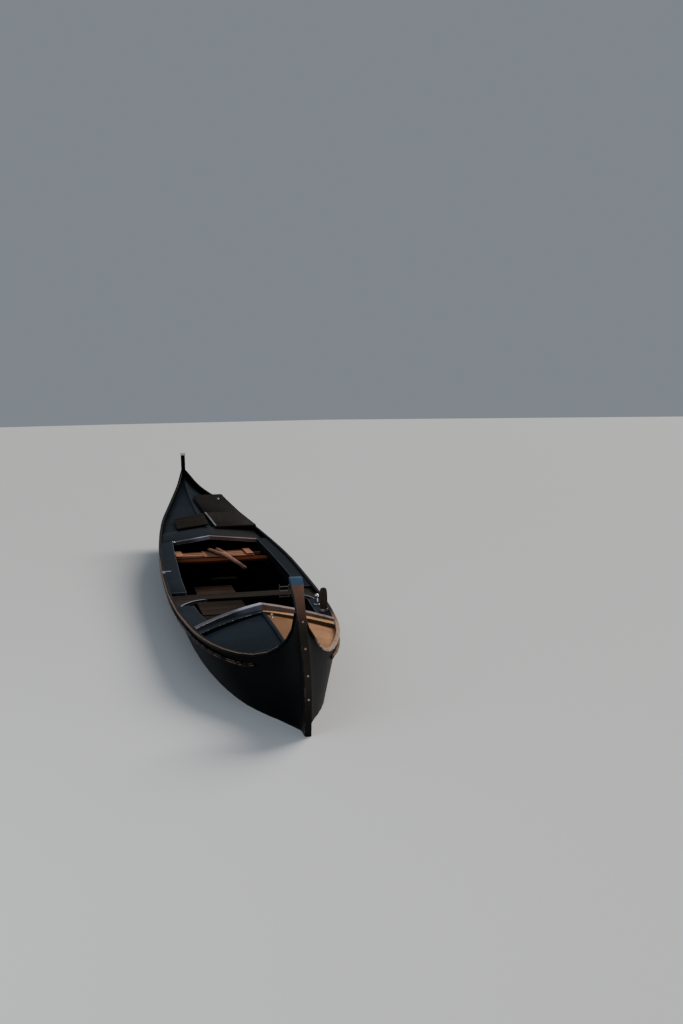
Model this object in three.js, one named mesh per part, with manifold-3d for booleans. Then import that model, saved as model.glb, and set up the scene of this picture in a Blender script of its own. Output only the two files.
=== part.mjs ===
// A Venetian gondola, empty and afloat, in millimetres, with +Z up.
// While it is drawn, X runs to port from the line between the two end posts, Y runs aft from the foot of
// the bow post, and Z runs up from the waterline. Seen from the bow, port is then on the right.
// The last lines move the whole boat so that the middle of its lowest level is at 0, 0, 0.
import * as THREE from "three";
import { mergeVertices } from "three/addons/utils/BufferGeometryUtils.js";
import Module from "manifold-3d";

const wasm = await Module();
wasm.setup();

// Sides of the boat: the sign of X.
const STARBOARD = -1;
const PORT = 1;

// Clearances between pieces that touch.
const GAP = 0.3;
const HULL_GAP = 0.5;

// Plank and board thicknesses.
const SIDE_THICK = 18;
const BOTTOM_THICK = 22;
const DECK_THICK = 16;
const BOARD_THICK = 24;

// Gunwale cap and rubbing rail.
const CAP_THICK = 22;
const CAP_OUT = 10;
const CAP_IN = 34;
const RAIL_TOP_DROP = 70;
const RAIL_BOTTOM_DROP = 98;
const RAIL_OUT = 26;
const RAIL_FORE = { [STARBOARD]: 650, [PORT]: 800 };
const RAIL_TAPER = 180;
const RAIL_AFT = 10250;

// The top edge of the cap: place along the boat, height, half-breadth to starboard and to port.
const GUNWALE = [
  [256, 822, 41, 41],
  [300, 742, 44, 62],
  [350, 668, 54, 100],
  [420, 594, 84, 150],
  [500, 532, 124, 194],
  [600, 474, 182, 246],
  [750, 428, 280, 318],
  [900, 414, 374, 384],
  [1100, 416, 478, 456],
  [1400, 424, 572, 540],
  [1800, 428, 636, 608],
  [2800, 412, 700, 722],
  [4000, 428, 722, 790],
  [5400, 500, 702, 806],
  [6800, 588, 632, 742],
  [8100, 690, 515, 632],
  [9300, 815, 335, 472],
  [9800, 886, 252, 354],
  [10200, 962, 176, 246],
  [10450, 1040, 122, 170],
  [10620, 1114, 84, 116],
  [10764, 1212, 42, 42],
];

// The corner between bottom and side: place, height, half-breadth to starboard and to port. The bottom
// is level from 3 to 6 m, so that the boat stands on it.
const CHINE = [
  [150, -62, 24, 24],
  [500, -78, 172, 172],
  [1050, -94, 305, 305],
  [2000, -112, 428, 440],
  [3000, -120, 482, 512],
  [3800, -120, 502, 545],
  [4600, -120, 510, 562],
  [5400, -120, 501, 558],
  [6000, -120, 482, 540],
  [6500, -110, 458, 512],
  [7200, -74, 415, 468],
  [8300, 20, 318, 358],
  [9300, 155, 190, 225],
  [10000, 325, 88, 100],
  [10320, 440, 30, 30],
];

// Posts at the ends: height, place of the outer edge, width.
const BOW_EDGE = [
  [-75, 68, 46],
  [-35, 20, 46],
  [0, 2, 46],
  [160, -26, 47],
  [300, -42, 49],
  [434, -36, 51],
  [524, -8, 53],
  [605, 30, 55],
  [695, 70, 57],
  [777, 110, 60],
  [844, 155, 63],
  [914, 206, 68],
  [962, 245, 78],
  [1010, 284, 90],
];
const BOW_DEPTH = 96;
const BOW_HEAD_RISE = 40;
const BOW_HEAD_RUN = 42;
const STRAP_THICK = 7;
const STERN_EDGE = [
  [380, 10300, 52],
  [500, 10480, 54],
  [700, 10660, 58],
  [900, 10770, 60],
  [1100, 10835, 62],
  [1300, 10862, 63],
  [1448, 10870, 64],
];
const STERN_DEPTH = 84;
const STERN_CAP = { width: 80, over: 8, thick: 36 };

// Decks: how far their edges lie under the top of the cap, and how far the ridge stands over the edges.
const FORE_DECK_DROP = 50;
const FORE_DECK = { fore: 300, aft: 2056 };
const FORE_RIDGE_RISE = [
  [300, 12],
  [600, 48],
  [860, 84],
  [1400, 96],
  [2120, 100],
];
const AFT_DECK_DROP = 82;
const AFT_DECK = { fore: 7430, aft: 10700 };
const AFT_RIDGE_RISE = [
  [7000, 84],
  [8450, 80],
  [9300, 68],
  [10000, 62],
  [10700, 20],
];
const RIDGE_WIDTH = 34;
const RIDGE_THICK = 12;

// The cockpit: its ends, and the inner edge of the side decks as place, starboard, port.
const COCKPIT = { fore: 1700, aft: 6600 };
const SIDE_DECK_DROP = 20;
const SIDE_DECK_THICK = 22;
const FASCIA_DEPTH = 100;
const FASCIA_THICK = 16;
const COCKPIT_EDGE = [
  [1700, 420, 470],
  [2180, 462, 508],
  [3000, 508, 575],
  [3700, 522, 615],
  [4600, 520, 632],
  [5700, 500, 622],
  [6600, 468, 592],
];
const NOTCH = { fore: 3040, aft: 3744 };

// Coamings: peaked beams across the ends of the cockpit, with covering boards behind them.
// In plan the fore one is swept forward towards the sides: its edges are given at the middle line, with
// how far they run forward for each mm from it and for each square mm.
const FORE_COAMING = { fore: 1740, aft: 2200, drop: -6, peak: 116, thick: 66 };
const COAMING_AFT_EDGE = { middle: 2190, slope: 0, bend: 0.0009 };
const COAMING_FORE_EDGE = { middle: 2084, slope: 0, bend: 0.0009 };
const FORE_COVER = { fore: 1400, aft: 2100, drop: 12, peak: 84, thick: 44 };
const COVER_FORE_EDGE = { middle: 2006, slope: 0.3, bend: 0.0006 };
const AFT_COAMING = { fore: 6606, aft: 6650, drop: 44, peak: 82, thick: 44 };
const AFT_COVER = { fore: 6652, aft: 7400, drop: 56, peak: 64, thick: 26 };

// Frames, stringers that carry the thwart and the seat, and floor timbers.
const RIB_PLACES = [2420, 2860, 3260, 3900, 4380, 4860, 5340, 6180, 6560, 7020];
const RIB_WIDTH = 34;
const RIB_DEPTH = 30;
const RIB_TOP_DROP = 86;
const STRINGER = { fore: 2400, aft: 7040, top: 338, tall: 52, thick: 24 };
const TIMBER_PLACES = [1500, 1960, 2420, 2880, 3340, 3800, 4260, 4720, 5180, 5640, 6100, 6560, 7020, 7480];
const TIMBER_WIDTH = 40;
const TIMBER_TALL = 44;
const BATTEN_OFFSET = 210;
const BATTEN_WIDTH = 50;

// Floorboards: each panel is a row of planks across the boat, on two strips.
const FLOOR_PANELS = [
  { name: "floorboards_fore", fore: 2360, aft: 4600, left: -290, right: 262, planks: 9 },
  { name: "floorboards_middle", fore: 4660, aft: 5740, left: -290, right: 240, planks: 4 },
  { name: "floorboards_aft", fore: 5920, aft: 6490, left: -240, right: 240, planks: 2 },
];
const FLOOR_PLANK_THICK = 18;
const FLOOR_SLOT = 9;
const FLOOR_STRIP = 30;

// Thwart and its knees.
const THWART = { fore: 3460, aft: 3740, top: 372, thick: 32 };
const KNEE_REACH = { [STARBOARD]: 330, [PORT]: 230 };
const KNEE_FORE = 3044;

// Slatted seat at the after end of the cockpit.
const SEAT = { fore: 6080, aft: 6590, left: -468, right: 490, top: 420 };
const SEAT_SLATS = 4;
const SEAT_SLOT = 42;
const SEAT_SLAT_THICK = 20;
const SEAT_BLOCK = { width: 86, tall: 20 };
const SEAT_MIDDLE = { left: -120, right: 118, tall: 6 };
const SEAT_FRONT = { fore: 6084, aft: 6112 };
const SEAT_REAR = { fore: 6480, aft: 6530 };

// The rower's standing boards on the port side of the after deck.
const PLATFORM_THICK = 22;
const PLATFORM_BOARDS = [
  { name: "rower_board_fore", fore: 7330, aft: 8376, left: 142, leftAft: 94, right: 694, rightAft: 596 },
  { name: "rower_board_aft", fore: 8384, aft: 9660, left: 94, leftAft: 54, right: 596, rightAft: 492 },
];

// The planked hatch cover that lies on the starboard slope of the after deck, on two bearers.
const HATCH = { fore: 7420, aft: 8210, left: -352, right: 66, planks: 4, slot: 4, thick: 20, bearer: 34 };

// Fittings.
const MOORING_POST = { x: 590, y: 2310, tall: 222, radius: 36 };
const CLEAT = { outer: 8, y: 4650, length: 92, radius: 9, stand: 22 };
const BRACKET = { x: 422, below: 28, width: 94, tall: 128, bar: 11 };
const HOOK = { x: 604, y: 2700, tall: 84, radius: 15 };
const FLOOR_BAR = { left: 28, right: 387, y: 7020, size: 26 };

// Finishes: colour, roughness, metalness.
const FINISHES = {
  black_paint: [0x12161a, 0.35, 0],
  worn_black: [0x2a2c2f, 0.55, 0],
  grey_wood: [0x6b5547, 0.8, 0],
  pale_wood: [0xb98a5e, 0.65, 0],
  varnished_wood: [0xa04a24, 0.4, 0],
  iron: [0x77716b, 0.5, 0.8],
  bright_metal: [0xc9ccd0, 0.25, 1],
};

// Straight runs between neighbouring rows of a table, smoothed by a cubic through all of them.
function curve(rows, column) {
  const slopes = rows.map((row, i) => {
    const before = rows[Math.max(i - 1, 0)];
    const after = rows[Math.min(i + 1, rows.length - 1)];
    return (after[column] - before[column]) / (after[0] - before[0]);
  });
  return (place) => {
    let i = rows.findIndex((row) => row[0] >= place);
    if (i < 0) i = rows.length - 1;
    i = Math.max(i, 1);
    const [from, to] = [rows[i - 1], rows[i]];
    const span = to[0] - from[0];
    const t = Math.min(Math.max((place - from[0]) / span, 0), 1);
    const bend = t * t * (3 - 2 * t);
    const leave = t * (1 - t) * (1 - t) * span * slopes[i - 1];
    const arrive = t * t * (t - 1) * span * slopes[i];
    return from[column] * (1 - bend) + to[column] * bend + leave + arrive;
  };
}

const capHeight = curve(GUNWALE, 1);
const capHalf = { [STARBOARD]: curve(GUNWALE, 2), [PORT]: curve(GUNWALE, 3) };
const chineHeight = curve(CHINE, 1);
const chineHalf = { [STARBOARD]: curve(CHINE, 2), [PORT]: curve(CHINE, 3) };
const cockpitHalf = { [STARBOARD]: curve(COCKPIT_EDGE, 1), [PORT]: curve(COCKPIT_EDGE, 2) };
const bowEdge = curve(BOW_EDGE, 1);
const bowWidth = curve(BOW_EDGE, 2);
const sternEdge = curve(STERN_EDGE, 1);
const sternWidth = curve(STERN_EDGE, 2);
const foreRidgeRise = curve(FORE_RIDGE_RISE, 1);
const aftRidgeRise = curve(AFT_RIDGE_RISE, 1);

const mix = (a, b, t) => a + (b - a) * t;

// Solids.
function manifoldOf(geometry) {
  const plain = geometry.clone();
  plain.deleteAttribute("normal");
  plain.deleteAttribute("uv");
  const merged = mergeVertices(plain, 1e-4);
  const mesh = new wasm.Mesh({
    numProp: 3,
    vertProperties: merged.attributes.position.array,
    triVerts: new Uint32Array(merged.index.array),
  });
  return new wasm.Manifold(mesh);
}

function geometryOf(solid) {
  const mesh = solid.getMesh();
  const geometry = new THREE.BufferGeometry();
  geometry.setAttribute("position", new THREE.BufferAttribute(mesh.vertProperties, 3));
  geometry.setIndex(new THREE.BufferAttribute(mesh.triVerts, 1));
  const flat = geometry.toNonIndexed();
  flat.computeVertexNormals();
  return flat;
}

function solidFromTriangles(points, triangles) {
  let volume = 0;
  for (const [a, b, c] of triangles) {
    volume += points[a].dot(points[b].clone().cross(points[c]));
  }
  const position = new Float32Array(points.flatMap((p) => [p.x, p.y, p.z]));
  const index = triangles.flatMap(([a, b, c]) => (volume < 0 ? [a, c, b] : [a, b, c]));
  const geometry = new THREE.BufferGeometry();
  geometry.setAttribute("position", new THREE.BufferAttribute(position, 3));
  geometry.setIndex(index);
  return manifoldOf(geometry);
}

// A closed skin through rings of equally many points, with flat ends.
function loft(rings) {
  const count = rings[0].length;
  const points = rings.flat();
  const triangles = [];
  for (let i = 0; i + 1 < rings.length; i += 1) {
    for (let j = 0; j < count; j += 1) {
      const k = (j + 1) % count;
      const [a, b, c, d] = [i * count + j, (i + 1) * count + j, (i + 1) * count + k, i * count + k];
      triangles.push([a, b, c], [a, c, d]);
    }
  }
  const last = (rings.length - 1) * count;
  for (let j = 1; j + 1 < count; j += 1) {
    triangles.push([0, j, j + 1], [last, last + j + 1, last + j]);
  }
  return solidFromTriangles(points, triangles);
}

function box(low, high) {
  const size = high.map((value, i) => value - low[i]);
  const middle = high.map((value, i) => (value + low[i]) / 2);
  const geometry = new THREE.BoxGeometry(...size);
  geometry.translate(...middle);
  return manifoldOf(geometry);
}

function cylinder(low, high, foot, head = foot) {
  const axis = new THREE.Vector3().subVectors(high, low);
  const geometry = new THREE.CylinderGeometry(head, foot, axis.length(), 16);
  const turn = new THREE.Quaternion().setFromUnitVectors(new THREE.Vector3(0, 1, 0), axis.normalize());
  geometry.applyQuaternion(turn);
  const middle = new THREE.Vector3().addVectors(low, high).multiplyScalar(0.5);
  geometry.translate(middle.x, middle.y, middle.z);
  return manifoldOf(geometry);
}

const join = (...solids) => solids.reduce((all, solid) => all.add(solid));
const vector = (x, y, z) => new THREE.Vector3(x, y, z);

// The hull's side, as stations along the boat and rows from the chine up to the cap.
const STATIONS = 50;
const HULL_START = { chine: 160, cap: bowEdge(GUNWALE[0][1]) + BOW_DEPTH + GAP };
const HULL_END = {
  chine: 10300 - STERN_DEPTH,
  cap: sternEdge(GUNWALE.at(-1)[1]) - STERN_DEPTH - GAP,
};
const BOW_BLEND = 0.09;
const STERN_BLEND = 0.09;

// A point of the side before its ends are drawn onto the posts.
function plainSidePoint(side, along, row) {
  const chineY = mix(HULL_START.chine, HULL_END.chine, along);
  const capY = mix(HULL_START.cap, HULL_END.cap, along);
  const low = vector(side * chineHalf[side](chineY), chineY, chineHeight(chineY));
  const plankTop = capHeight(capY) - CAP_THICK - GAP;
  const high = vector(side * (capHalf[side](capY) - CAP_OUT), capY, plankTop);
  const tall = high.z - low.z;
  const railLow = 1 - (RAIL_BOTTOM_DROP - CAP_THICK) / tall;
  const railHigh = 1 - (RAIL_TOP_DROP - CAP_THICK) / tall;
  const share = [0, railLow * 0.4, railLow * 0.75, railLow, railHigh, 1][row];
  return { point: low.clone().lerp(high, share), share };
}

function sidePoint(side, along, row) {
  const { point, share } = plainSidePoint(side, along, row);
  const bow = Math.max(0, 1 - along / BOW_BLEND) ** 2;
  const stern = Math.max(0, 1 - (1 - along) / STERN_BLEND) ** 2;
  const first = plainSidePoint(side, 0, row).point;
  const last = plainSidePoint(side, 1, row).point;
  point.y += bow * (bowEdge(first.z) + BOW_DEPTH + GAP - first.y);
  point.y += stern * (sternEdge(last.z) - STERN_DEPTH - GAP - last.y);
  const below = 1 - share ** 2;
  point.x = mix(point.x, (side * bowWidth(point.z)) / 2, bow ** 2 * below);
  point.x = mix(point.x, (side * sternWidth(point.z)) / 2, stern ** 2 * below);
  return point;
}

const ROWS = 6;
const alongAt = (i) => (1 - Math.cos((Math.PI * i) / STATIONS)) / 2;

// Rows run down on port and up on starboard, so that every skin is cut into the same triangles.
function sideGrid(side, inset) {
  const grid = [];
  for (let i = 0; i <= STATIONS; i += 1) {
    const line = [];
    for (let j = 0; j < ROWS; j += 1) {
      const row = side === STARBOARD ? j : ROWS - 1 - j;
      const point = sidePoint(side, alongAt(i), row);
      point.x -= side * inset;
      line.push(point);
    }
    grid.push(line);
  }
  return grid;
}

function sidePlank(side) {
  const outer = sideGrid(side, 0);
  const inner = sideGrid(side, SIDE_THICK);
  const skin = loft(outer.map((line, i) => [...line, ...inner[i].toReversed()]));
  return skin.subtract(beyondPosts(bowPlain, sternPlain));
}

function bottomPlank() {
  const rings = [];
  for (let i = 0; i <= STATIONS; i += 1) {
    const left = sidePoint(STARBOARD, alongAt(i), 0);
    const right = sidePoint(PORT, alongAt(i), 0);
    const inset = SIDE_THICK + HULL_GAP;
    rings.push([
      vector(left.x + inset, left.y, left.z),
      vector(right.x - inset, right.y, right.z),
      vector(right.x - inset, right.y, right.z + BOTTOM_THICK),
      vector(left.x + inset, left.y, left.z + BOTTOM_THICK),
    ]);
  }
  return loft(rings);
}

// The room inside the planks. Pieces that reach the hull are made too wide and then cut to it.
function hullRoom() {
  const left = sideGrid(STARBOARD, SIDE_THICK + HULL_GAP);
  const right = sideGrid(PORT, SIDE_THICK + HULL_GAP);
  const over = (point) => point.clone().setZ(point.z + 1500);
  const between = loft(
    left.map((line, i) => [
      ...line.toReversed(),
      ...right[i].toReversed(),
      over(right[i][0]),
      over(line[ROWS - 1]),
    ]),
  );
  const levels = left.map((line) => [line[0].y, line[0].z + BOTTOM_THICK + GAP]);
  const ends = [[-400, levels[0][1]], ...levels, [11200, levels.at(-1)[1]]];
  const rings = ends.map(([y, floor]) => [
    vector(-900, y, floor),
    vector(900, y, floor),
    vector(900, y, floor + 2000),
    vector(-900, y, floor + 2000),
  ]);
  return between.intersect(loft(rings)).subtract(capBand(STARBOARD)).subtract(capBand(PORT));
}

// The cap rail and all above it, a little larger, which nothing inside the hull may reach.
function capBand(side) {
  const rings = [];
  for (let i = 0; i <= STATIONS; i += 1) {
    const top = sidePoint(side, alongAt(i), ROWS - 1);
    const inward = CAP_IN - CAP_OUT + GAP;
    rings.push([
      vector(top.x + side * 60, top.y, top.z),
      vector(top.x + side * 60, top.y, top.z + 1600),
      vector(top.x - side * inward, top.y, top.z + 1600),
      vector(top.x - side * inward, top.y, top.z),
    ]);
  }
  return loft(rings);
}

const room = hullRoom();
const toHull = (solid) => room.intersect(solid);

// Places along the boat at which boards follow the hull's curves: the same ones for every board,
// and closer together towards both ends.
const PLACE_STEP = 95;
const LONG_STEPS = { fore: 1520, aft: 9500 };
function places(fore, aft) {
  const between = [];
  for (let y = PLACE_STEP; y < aft - 1; y += PLACE_STEP) {
    const nearEnd = y < LONG_STEPS.fore || y > LONG_STEPS.aft;
    if (y >= fore + 1 && (nearEnd || y % (2 * PLACE_STEP) === 0)) between.push(y);
  }
  return [fore, ...between, aft];
}

// Posts.
function post(edge, width, face, heights, head) {
  const rings = heights.toSorted((a, b) => a - b).map((z) => {
    const half = width(z) / 2;
    return [
      vector(-half, edge(z), z),
      vector(half, edge(z), z),
      vector(half, face(z), z),
      vector(-half, face(z), z),
    ];
  });
  if (head) rings.push(head(rings.at(-1)));
  return loft(rings);
}

const BOW_HEIGHTS = [-75, -55, -35, -15, 0, 80, 160, 230, 300, 370, 434, 480, 524, 565, 605];
const BOW_NECK_HEIGHTS = [650, 695, 736, 777, 810, 844, 880, 914, 938, 962, 986];
const STERN_HEIGHTS = [380, 440, 500, 600, 700, 800, 900, 1000, 1100, 1200, 1300, 1448];

// The planks end in straight lines from row to row, and the inner face of a post fills up to them.
const plankRows = (along) => [0, 1, 2, 3, 4, 5].map((row) => sidePoint(PORT, along, row));
const BOW_ROWS = plankRows(0);
const STERN_ROWS = plankRows(1);

function faceAlong(rows, gap, plain) {
  return (z) => {
    const next = rows.findIndex((row) => row.z > z);
    if (next < 1) return plain(z);
    const [low, high] = [rows[next - 1], rows[next]];
    return mix(low.y, high.y, (z - low.z) / (high.z - low.z)) + gap;
  };
}

const bowPlain = (z) => bowEdge(z) + BOW_DEPTH;
const sternPlain = (z) => sternEdge(z) - STERN_DEPTH;
const bowFace = faceAlong(BOW_ROWS, -GAP, bowPlain);
const sternFace = faceAlong(STERN_ROWS, GAP, sternPlain);
const BOW_LEVELS = [...BOW_HEIGHTS, ...BOW_NECK_HEIGHTS, ...BOW_ROWS.map((row) => row.z)];
const STERN_LEVELS = [...STERN_HEIGHTS, ...STERN_ROWS.map((row) => row.z)];

// All that lies beyond the inner faces of the two posts, which the planks and rails stop at.
function beyondPosts(bowInner, sternInner) {
  const wide = () => 400;
  const bowHeights = [-300, ...BOW_LEVELS, 1010];
  const bow = post((z) => bowEdge(z) - 200, wide, (z) => bowInner(z) + GAP, bowHeights);
  const sternHeights = [...STERN_LEVELS, 1700];
  const stern = post((z) => sternEdge(z) + 200, wide, (z) => sternInner(z) - GAP, sternHeights);
  return bow.add(stern);
}

const ends = beyondPosts(bowFace, sternFace);

function bowPost() {
  const edge = (z) => bowEdge(z) + STRAP_THICK + GAP;
  const head = ([a, b, c, d]) => {
    const rise = vector(0, BOW_HEAD_RUN, BOW_HEAD_RISE);
    const back = vector(0, 10, BOW_HEAD_RISE);
    return [a.clone().add(rise), b.clone().add(rise), c.clone().add(back), d.clone().add(back)];
  };
  return post(edge, bowWidth, bowFace, [...BOW_LEVELS, 1010], head);
}

function bowStrap() {
  const face = (z) => bowEdge(z) + STRAP_THICK;
  return post(bowEdge, (z) => bowWidth(z) - 4, face, [...BOW_LEVELS, 1006]);
}

function sternPost() {
  return post(sternEdge, sternWidth, sternFace, STERN_LEVELS);
}

// The metal plate on the head of the stern post.
function sternCap() {
  const { width, over, thick } = STERN_CAP;
  const low = STERN_HEIGHTS.at(-1) + GAP;
  const outer = sternEdge(low);
  return box([-width / 2, outer - STERN_DEPTH - over, low], [width / 2, outer + over, low + thick]);
}

// Rails along the top edge and on the side.
function capRail(side) {
  const rings = [];
  for (let i = 0; i <= STATIONS; i += 1) {
    const top = sidePoint(side, alongAt(i), ROWS - 1);
    const low = top.z + GAP;
    const narrow = Math.max(top.x * side - SIDE_THICK - 4, 2) < CAP_IN ? 0.2 : 1;
    const inward = Math.min(CAP_IN - CAP_OUT, (Math.abs(top.x) - 6) * narrow + 2);
    rings.push([
      vector(top.x + side * CAP_OUT, top.y, low),
      vector(top.x + side * CAP_OUT, top.y, low + CAP_THICK - 5),
      vector(top.x + side * (CAP_OUT - 6), top.y, low + CAP_THICK),
      vector(top.x - side * (inward - 4), top.y, low + CAP_THICK),
      vector(top.x - side * inward, top.y, low + CAP_THICK - 4),
      vector(top.x - side * inward, top.y, low),
    ]);
  }
  return loft(rings).subtract(ends);
}

function rubRail(side) {
  const rings = [];
  for (let i = 0; i <= STATIONS; i += 1) {
    const low = sidePoint(side, alongAt(i), 3);
    const high = sidePoint(side, alongAt(i), 4);
    const fromEnd = Math.min(high.y - RAIL_FORE[side], RAIL_AFT - high.y);
    if (fromEnd < 0) continue;
    const out = RAIL_OUT * Math.min(1, 0.3 + fromEnd / RAIL_TAPER);
    const ring = [
      vector(low.x + side * HULL_GAP, low.y, low.z),
      vector(low.x + side * out * 0.7, low.y, low.z),
      vector(high.x + side * out, (low.y + high.y) / 2, (low.z + high.z) / 2),
      vector(high.x + side * out * 0.7, high.y, high.z),
      vector(high.x + side * HULL_GAP, high.y, high.z),
    ];
    rings.push(side === STARBOARD ? ring.toReversed() : ring);
  }
  return loft(rings);
}

// A sloping board across one side of the boat or both: edges at one height, a ridge on the middle line.
function roof(fore, aft, sides, drop, rise, thick, lift = 0) {
  const rings = places(fore, aft).map((y) => {
    const line = sides.map((side) => {
      const half = Math.max(capHalf[side](y) - CAP_OUT - SIDE_THICK, 30);
      const edge = capHeight(y) - drop + lift;
      const slope = rise(y) / half;
      return vector(side * (half + 60), y, edge - slope * 60);
    });
    const ridge = capHeight(y) - drop + lift + rise(y);
    if (sides.length === 1) {
      const start = sides[0] * GAP;
      const [end] = line;
      return [
        vector(start, y, ridge),
        vector(end.x, y, end.z),
        vector(end.x, y, end.z - thick),
        vector(start, y, ridge - thick),
      ];
    }
    const [left, right] = line;
    return [
      vector(left.x, y, left.z),
      vector(0, y, ridge),
      vector(right.x, y, right.z),
      vector(right.x, y, right.z - thick),
      vector(0, y, ridge - thick),
      vector(left.x, y, left.z - thick),
    ];
  });
  return rings;
}

// Rings of six points are bent over the ridge, so they are skinned as two halves and joined.
function roofSolid(rings) {
  if (rings[0].length === 4) return loft(rings);
  const left = loft(rings.map(([a, b, , , e, f]) => [a, b, e, f]));
  const right = loft(rings.map(([, b, c, d, e]) => [b, c, d, e]));
  return left.add(right);
}

function deckHalf(side, deck, drop, rise) {
  const whole = toHull(roofSolid(roof(deck.fore, deck.aft, [side], drop, rise, DECK_THICK)));
  return deck === FORE_DECK ? whole.subtract(planAft(COVER_FORE_EDGE, -GAP)) : whole;
}

function ridgeBatten(fore, aft, drop, rise) {
  const half = RIDGE_WIDTH / 2;
  const rings = places(fore, aft).map((y) => {
    const top = capHeight(y) - drop + rise(y) + GAP;
    const slope = rise(y) / Math.max(capHalf[STARBOARD](y), 60);
    return [
      vector(-half, y, top),
      vector(half, y, top),
      vector(half, y, top + RIDGE_THICK - half * slope),
      vector(0, y, top + RIDGE_THICK),
      vector(-half, y, top + RIDGE_THICK - half * slope),
    ];
  });
  return loft(rings);
}

function coaming(beam) {
  const rings = roof(beam.fore, beam.aft, [STARBOARD, PORT], beam.drop, () => beam.peak, beam.thick);
  return toHull(roofSolid(rings));
}

// All that lies aft of an edge that is swept forward to both sides, moved aft by a clearance.
function planAft({ middle, slope, bend }, clearance) {
  const edge = (x) => middle - slope * Math.abs(x) - bend * x * x + clearance;
  const steps = [-700, -560, -420, -280, -140, 0, 140, 280, 420, 560, 700];
  const shape = new THREE.Shape();
  shape.moveTo(-700, 3600);
  for (const x of steps) shape.lineTo(x, edge(x));
  shape.lineTo(700, 3600);
  return manifoldOf(new THREE.ExtrudeGeometry(shape, { depth: 900, bevelEnabled: false }));
}

function foreCoaming() {
  const ahead = planAft(COAMING_FORE_EDGE, 0);
  return coaming(FORE_COAMING).intersect(ahead).subtract(planAft(COAMING_AFT_EDGE, 0));
}

function foreCover() {
  const ahead = planAft(COVER_FORE_EDGE, 0);
  return coaming(FORE_COVER).intersect(ahead).subtract(planAft(COAMING_FORE_EDGE, -GAP));
}

// Side deck with the fascia under its inner edge.
function sideDeck(side, fore, aft) {
  const deck = [];
  const fascia = [];
  for (const y of places(fore, aft)) {
    const inner = side * cockpitHalf[side](y);
    const outer = side * (capHalf[side](y) + 40);
    const top = capHeight(y) - SIDE_DECK_DROP;
    deck.push([
      vector(inner, y, top),
      vector(outer, y, top),
      vector(outer, y, top - SIDE_DECK_THICK),
      vector(inner, y, top - SIDE_DECK_THICK),
    ]);
    fascia.push([
      vector(inner, y, top - 1),
      vector(inner + side * FASCIA_THICK, y, top - 1),
      vector(inner + side * FASCIA_THICK, y, top - FASCIA_DEPTH),
      vector(inner, y, top - FASCIA_DEPTH),
    ]);
  }
  const whole = toHull(loft(deck)).add(loft(fascia));
  return fore < NOTCH.fore ? whole.intersect(planAft(COAMING_AFT_EDGE, GAP)) : whole;
}

// Height and place of the hull's inner face, for the frames on it.
function innerHalf(side, y, z) {
  const probe = toHull(box([-900, y - 1, z - 1], [900, y + 1, z + 1]));
  const bounds = probe.boundingBox();
  return side === PORT ? bounds.max[0] : -bounds.min[0];
}

function sideFrames(side) {
  const ribs = RIB_PLACES.map((y) => {
    const thwartLow = THWART.top - THWART.thick - GAP;
    const top = y > NOTCH.fore && y < NOTCH.aft ? thwartLow : capHeight(y) - RIB_TOP_DROP;
    const foot = chineHeight(y) + BOTTOM_THICK + TIMBER_TALL + 30;
    const low = innerHalf(side, y, foot + 10) + 40;
    const high = innerHalf(side, y, top - 10) + 40;
    const rings = [foot, top].map((z, i) => {
      const outer = side * [low, high][i];
      const inner = side * ([low, high][i] - 40 - RIB_DEPTH);
      return [
        vector(outer, y - RIB_WIDTH / 2, z),
        vector(inner, y - RIB_WIDTH / 2, z),
        vector(inner, y + RIB_WIDTH / 2, z),
        vector(outer, y + RIB_WIDTH / 2, z),
      ];
    });
    return toHull(loft(rings));
  });
  const bars = places(STRINGER.fore, STRINGER.aft).map((y) => {
    const middle = STRINGER.top - STRINGER.tall / 2;
    const outer = side * (innerHalf(side, y, middle) - RIB_DEPTH + 6);
    const inner = outer - side * STRINGER.thick;
    return [
      vector(outer, y, STRINGER.top),
      vector(inner, y, STRINGER.top),
      vector(inner, y, STRINGER.top - STRINGER.tall),
      vector(outer, y, STRINGER.top - STRINGER.tall),
    ];
  });
  return join(loft(bars), ...ribs);
}

function floorTimbers() {
  const bars = TIMBER_PLACES.map((y) => {
    const foot = chineHeight(y) - 60;
    const top = timberTop(y) - 3;
    const rough = box([-700, y - TIMBER_WIDTH / 2, foot], [700, y + TIMBER_WIDTH / 2, top]);
    return toHull(rough);
  });
  const battens = [STARBOARD, PORT].map((side) => {
    const x = side * BATTEN_OFFSET;
    const rings = places(TIMBER_PLACES[0], TIMBER_PLACES.at(-1)).map((y) => {
      const half = BATTEN_WIDTH / 2;
      const top = timberTop(y);
      return [
        vector(x - half, y, top),
        vector(x + half, y, top),
        vector(x + half, y, top - 20),
        vector(x - half, y, top - 20),
      ];
    });
    return loft(rings);
  });
  return join(...bars, ...battens);
}

const timberTop = (y) => chineHeight(y) + BOTTOM_THICK + TIMBER_TALL;

function floorPanel({ fore, aft, left, right, planks }) {
  const pitch = (aft - fore + FLOOR_SLOT) / planks;
  const strips = [-BATTEN_OFFSET, BATTEN_OFFSET].map((middle) => {
    const x = middle - FLOOR_STRIP / 2;
    const rings = places(fore, aft).map((y) => {
      const low = timberTop(y) + GAP;
      return [
        vector(x, y, low),
        vector(x + FLOOR_STRIP, y, low),
        vector(x + FLOOR_STRIP, y, low + 14),
        vector(x, y, low + 14),
      ];
    });
    return loft(rings);
  });
  const boards = Array.from({ length: planks }, (_, i) => {
    const start = fore + i * pitch;
    const end = start + pitch - FLOOR_SLOT;
    const rings = [start, end].map((y) => {
      const low = timberTop(y) + GAP + 13;
      return [
        vector(left, y, low),
        vector(right, y, low),
        vector(right, y, low + FLOOR_PLANK_THICK),
        vector(left, y, low + FLOOR_PLANK_THICK),
      ];
    });
    return loft(rings);
  });
  return join(...strips, ...boards);
}

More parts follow.
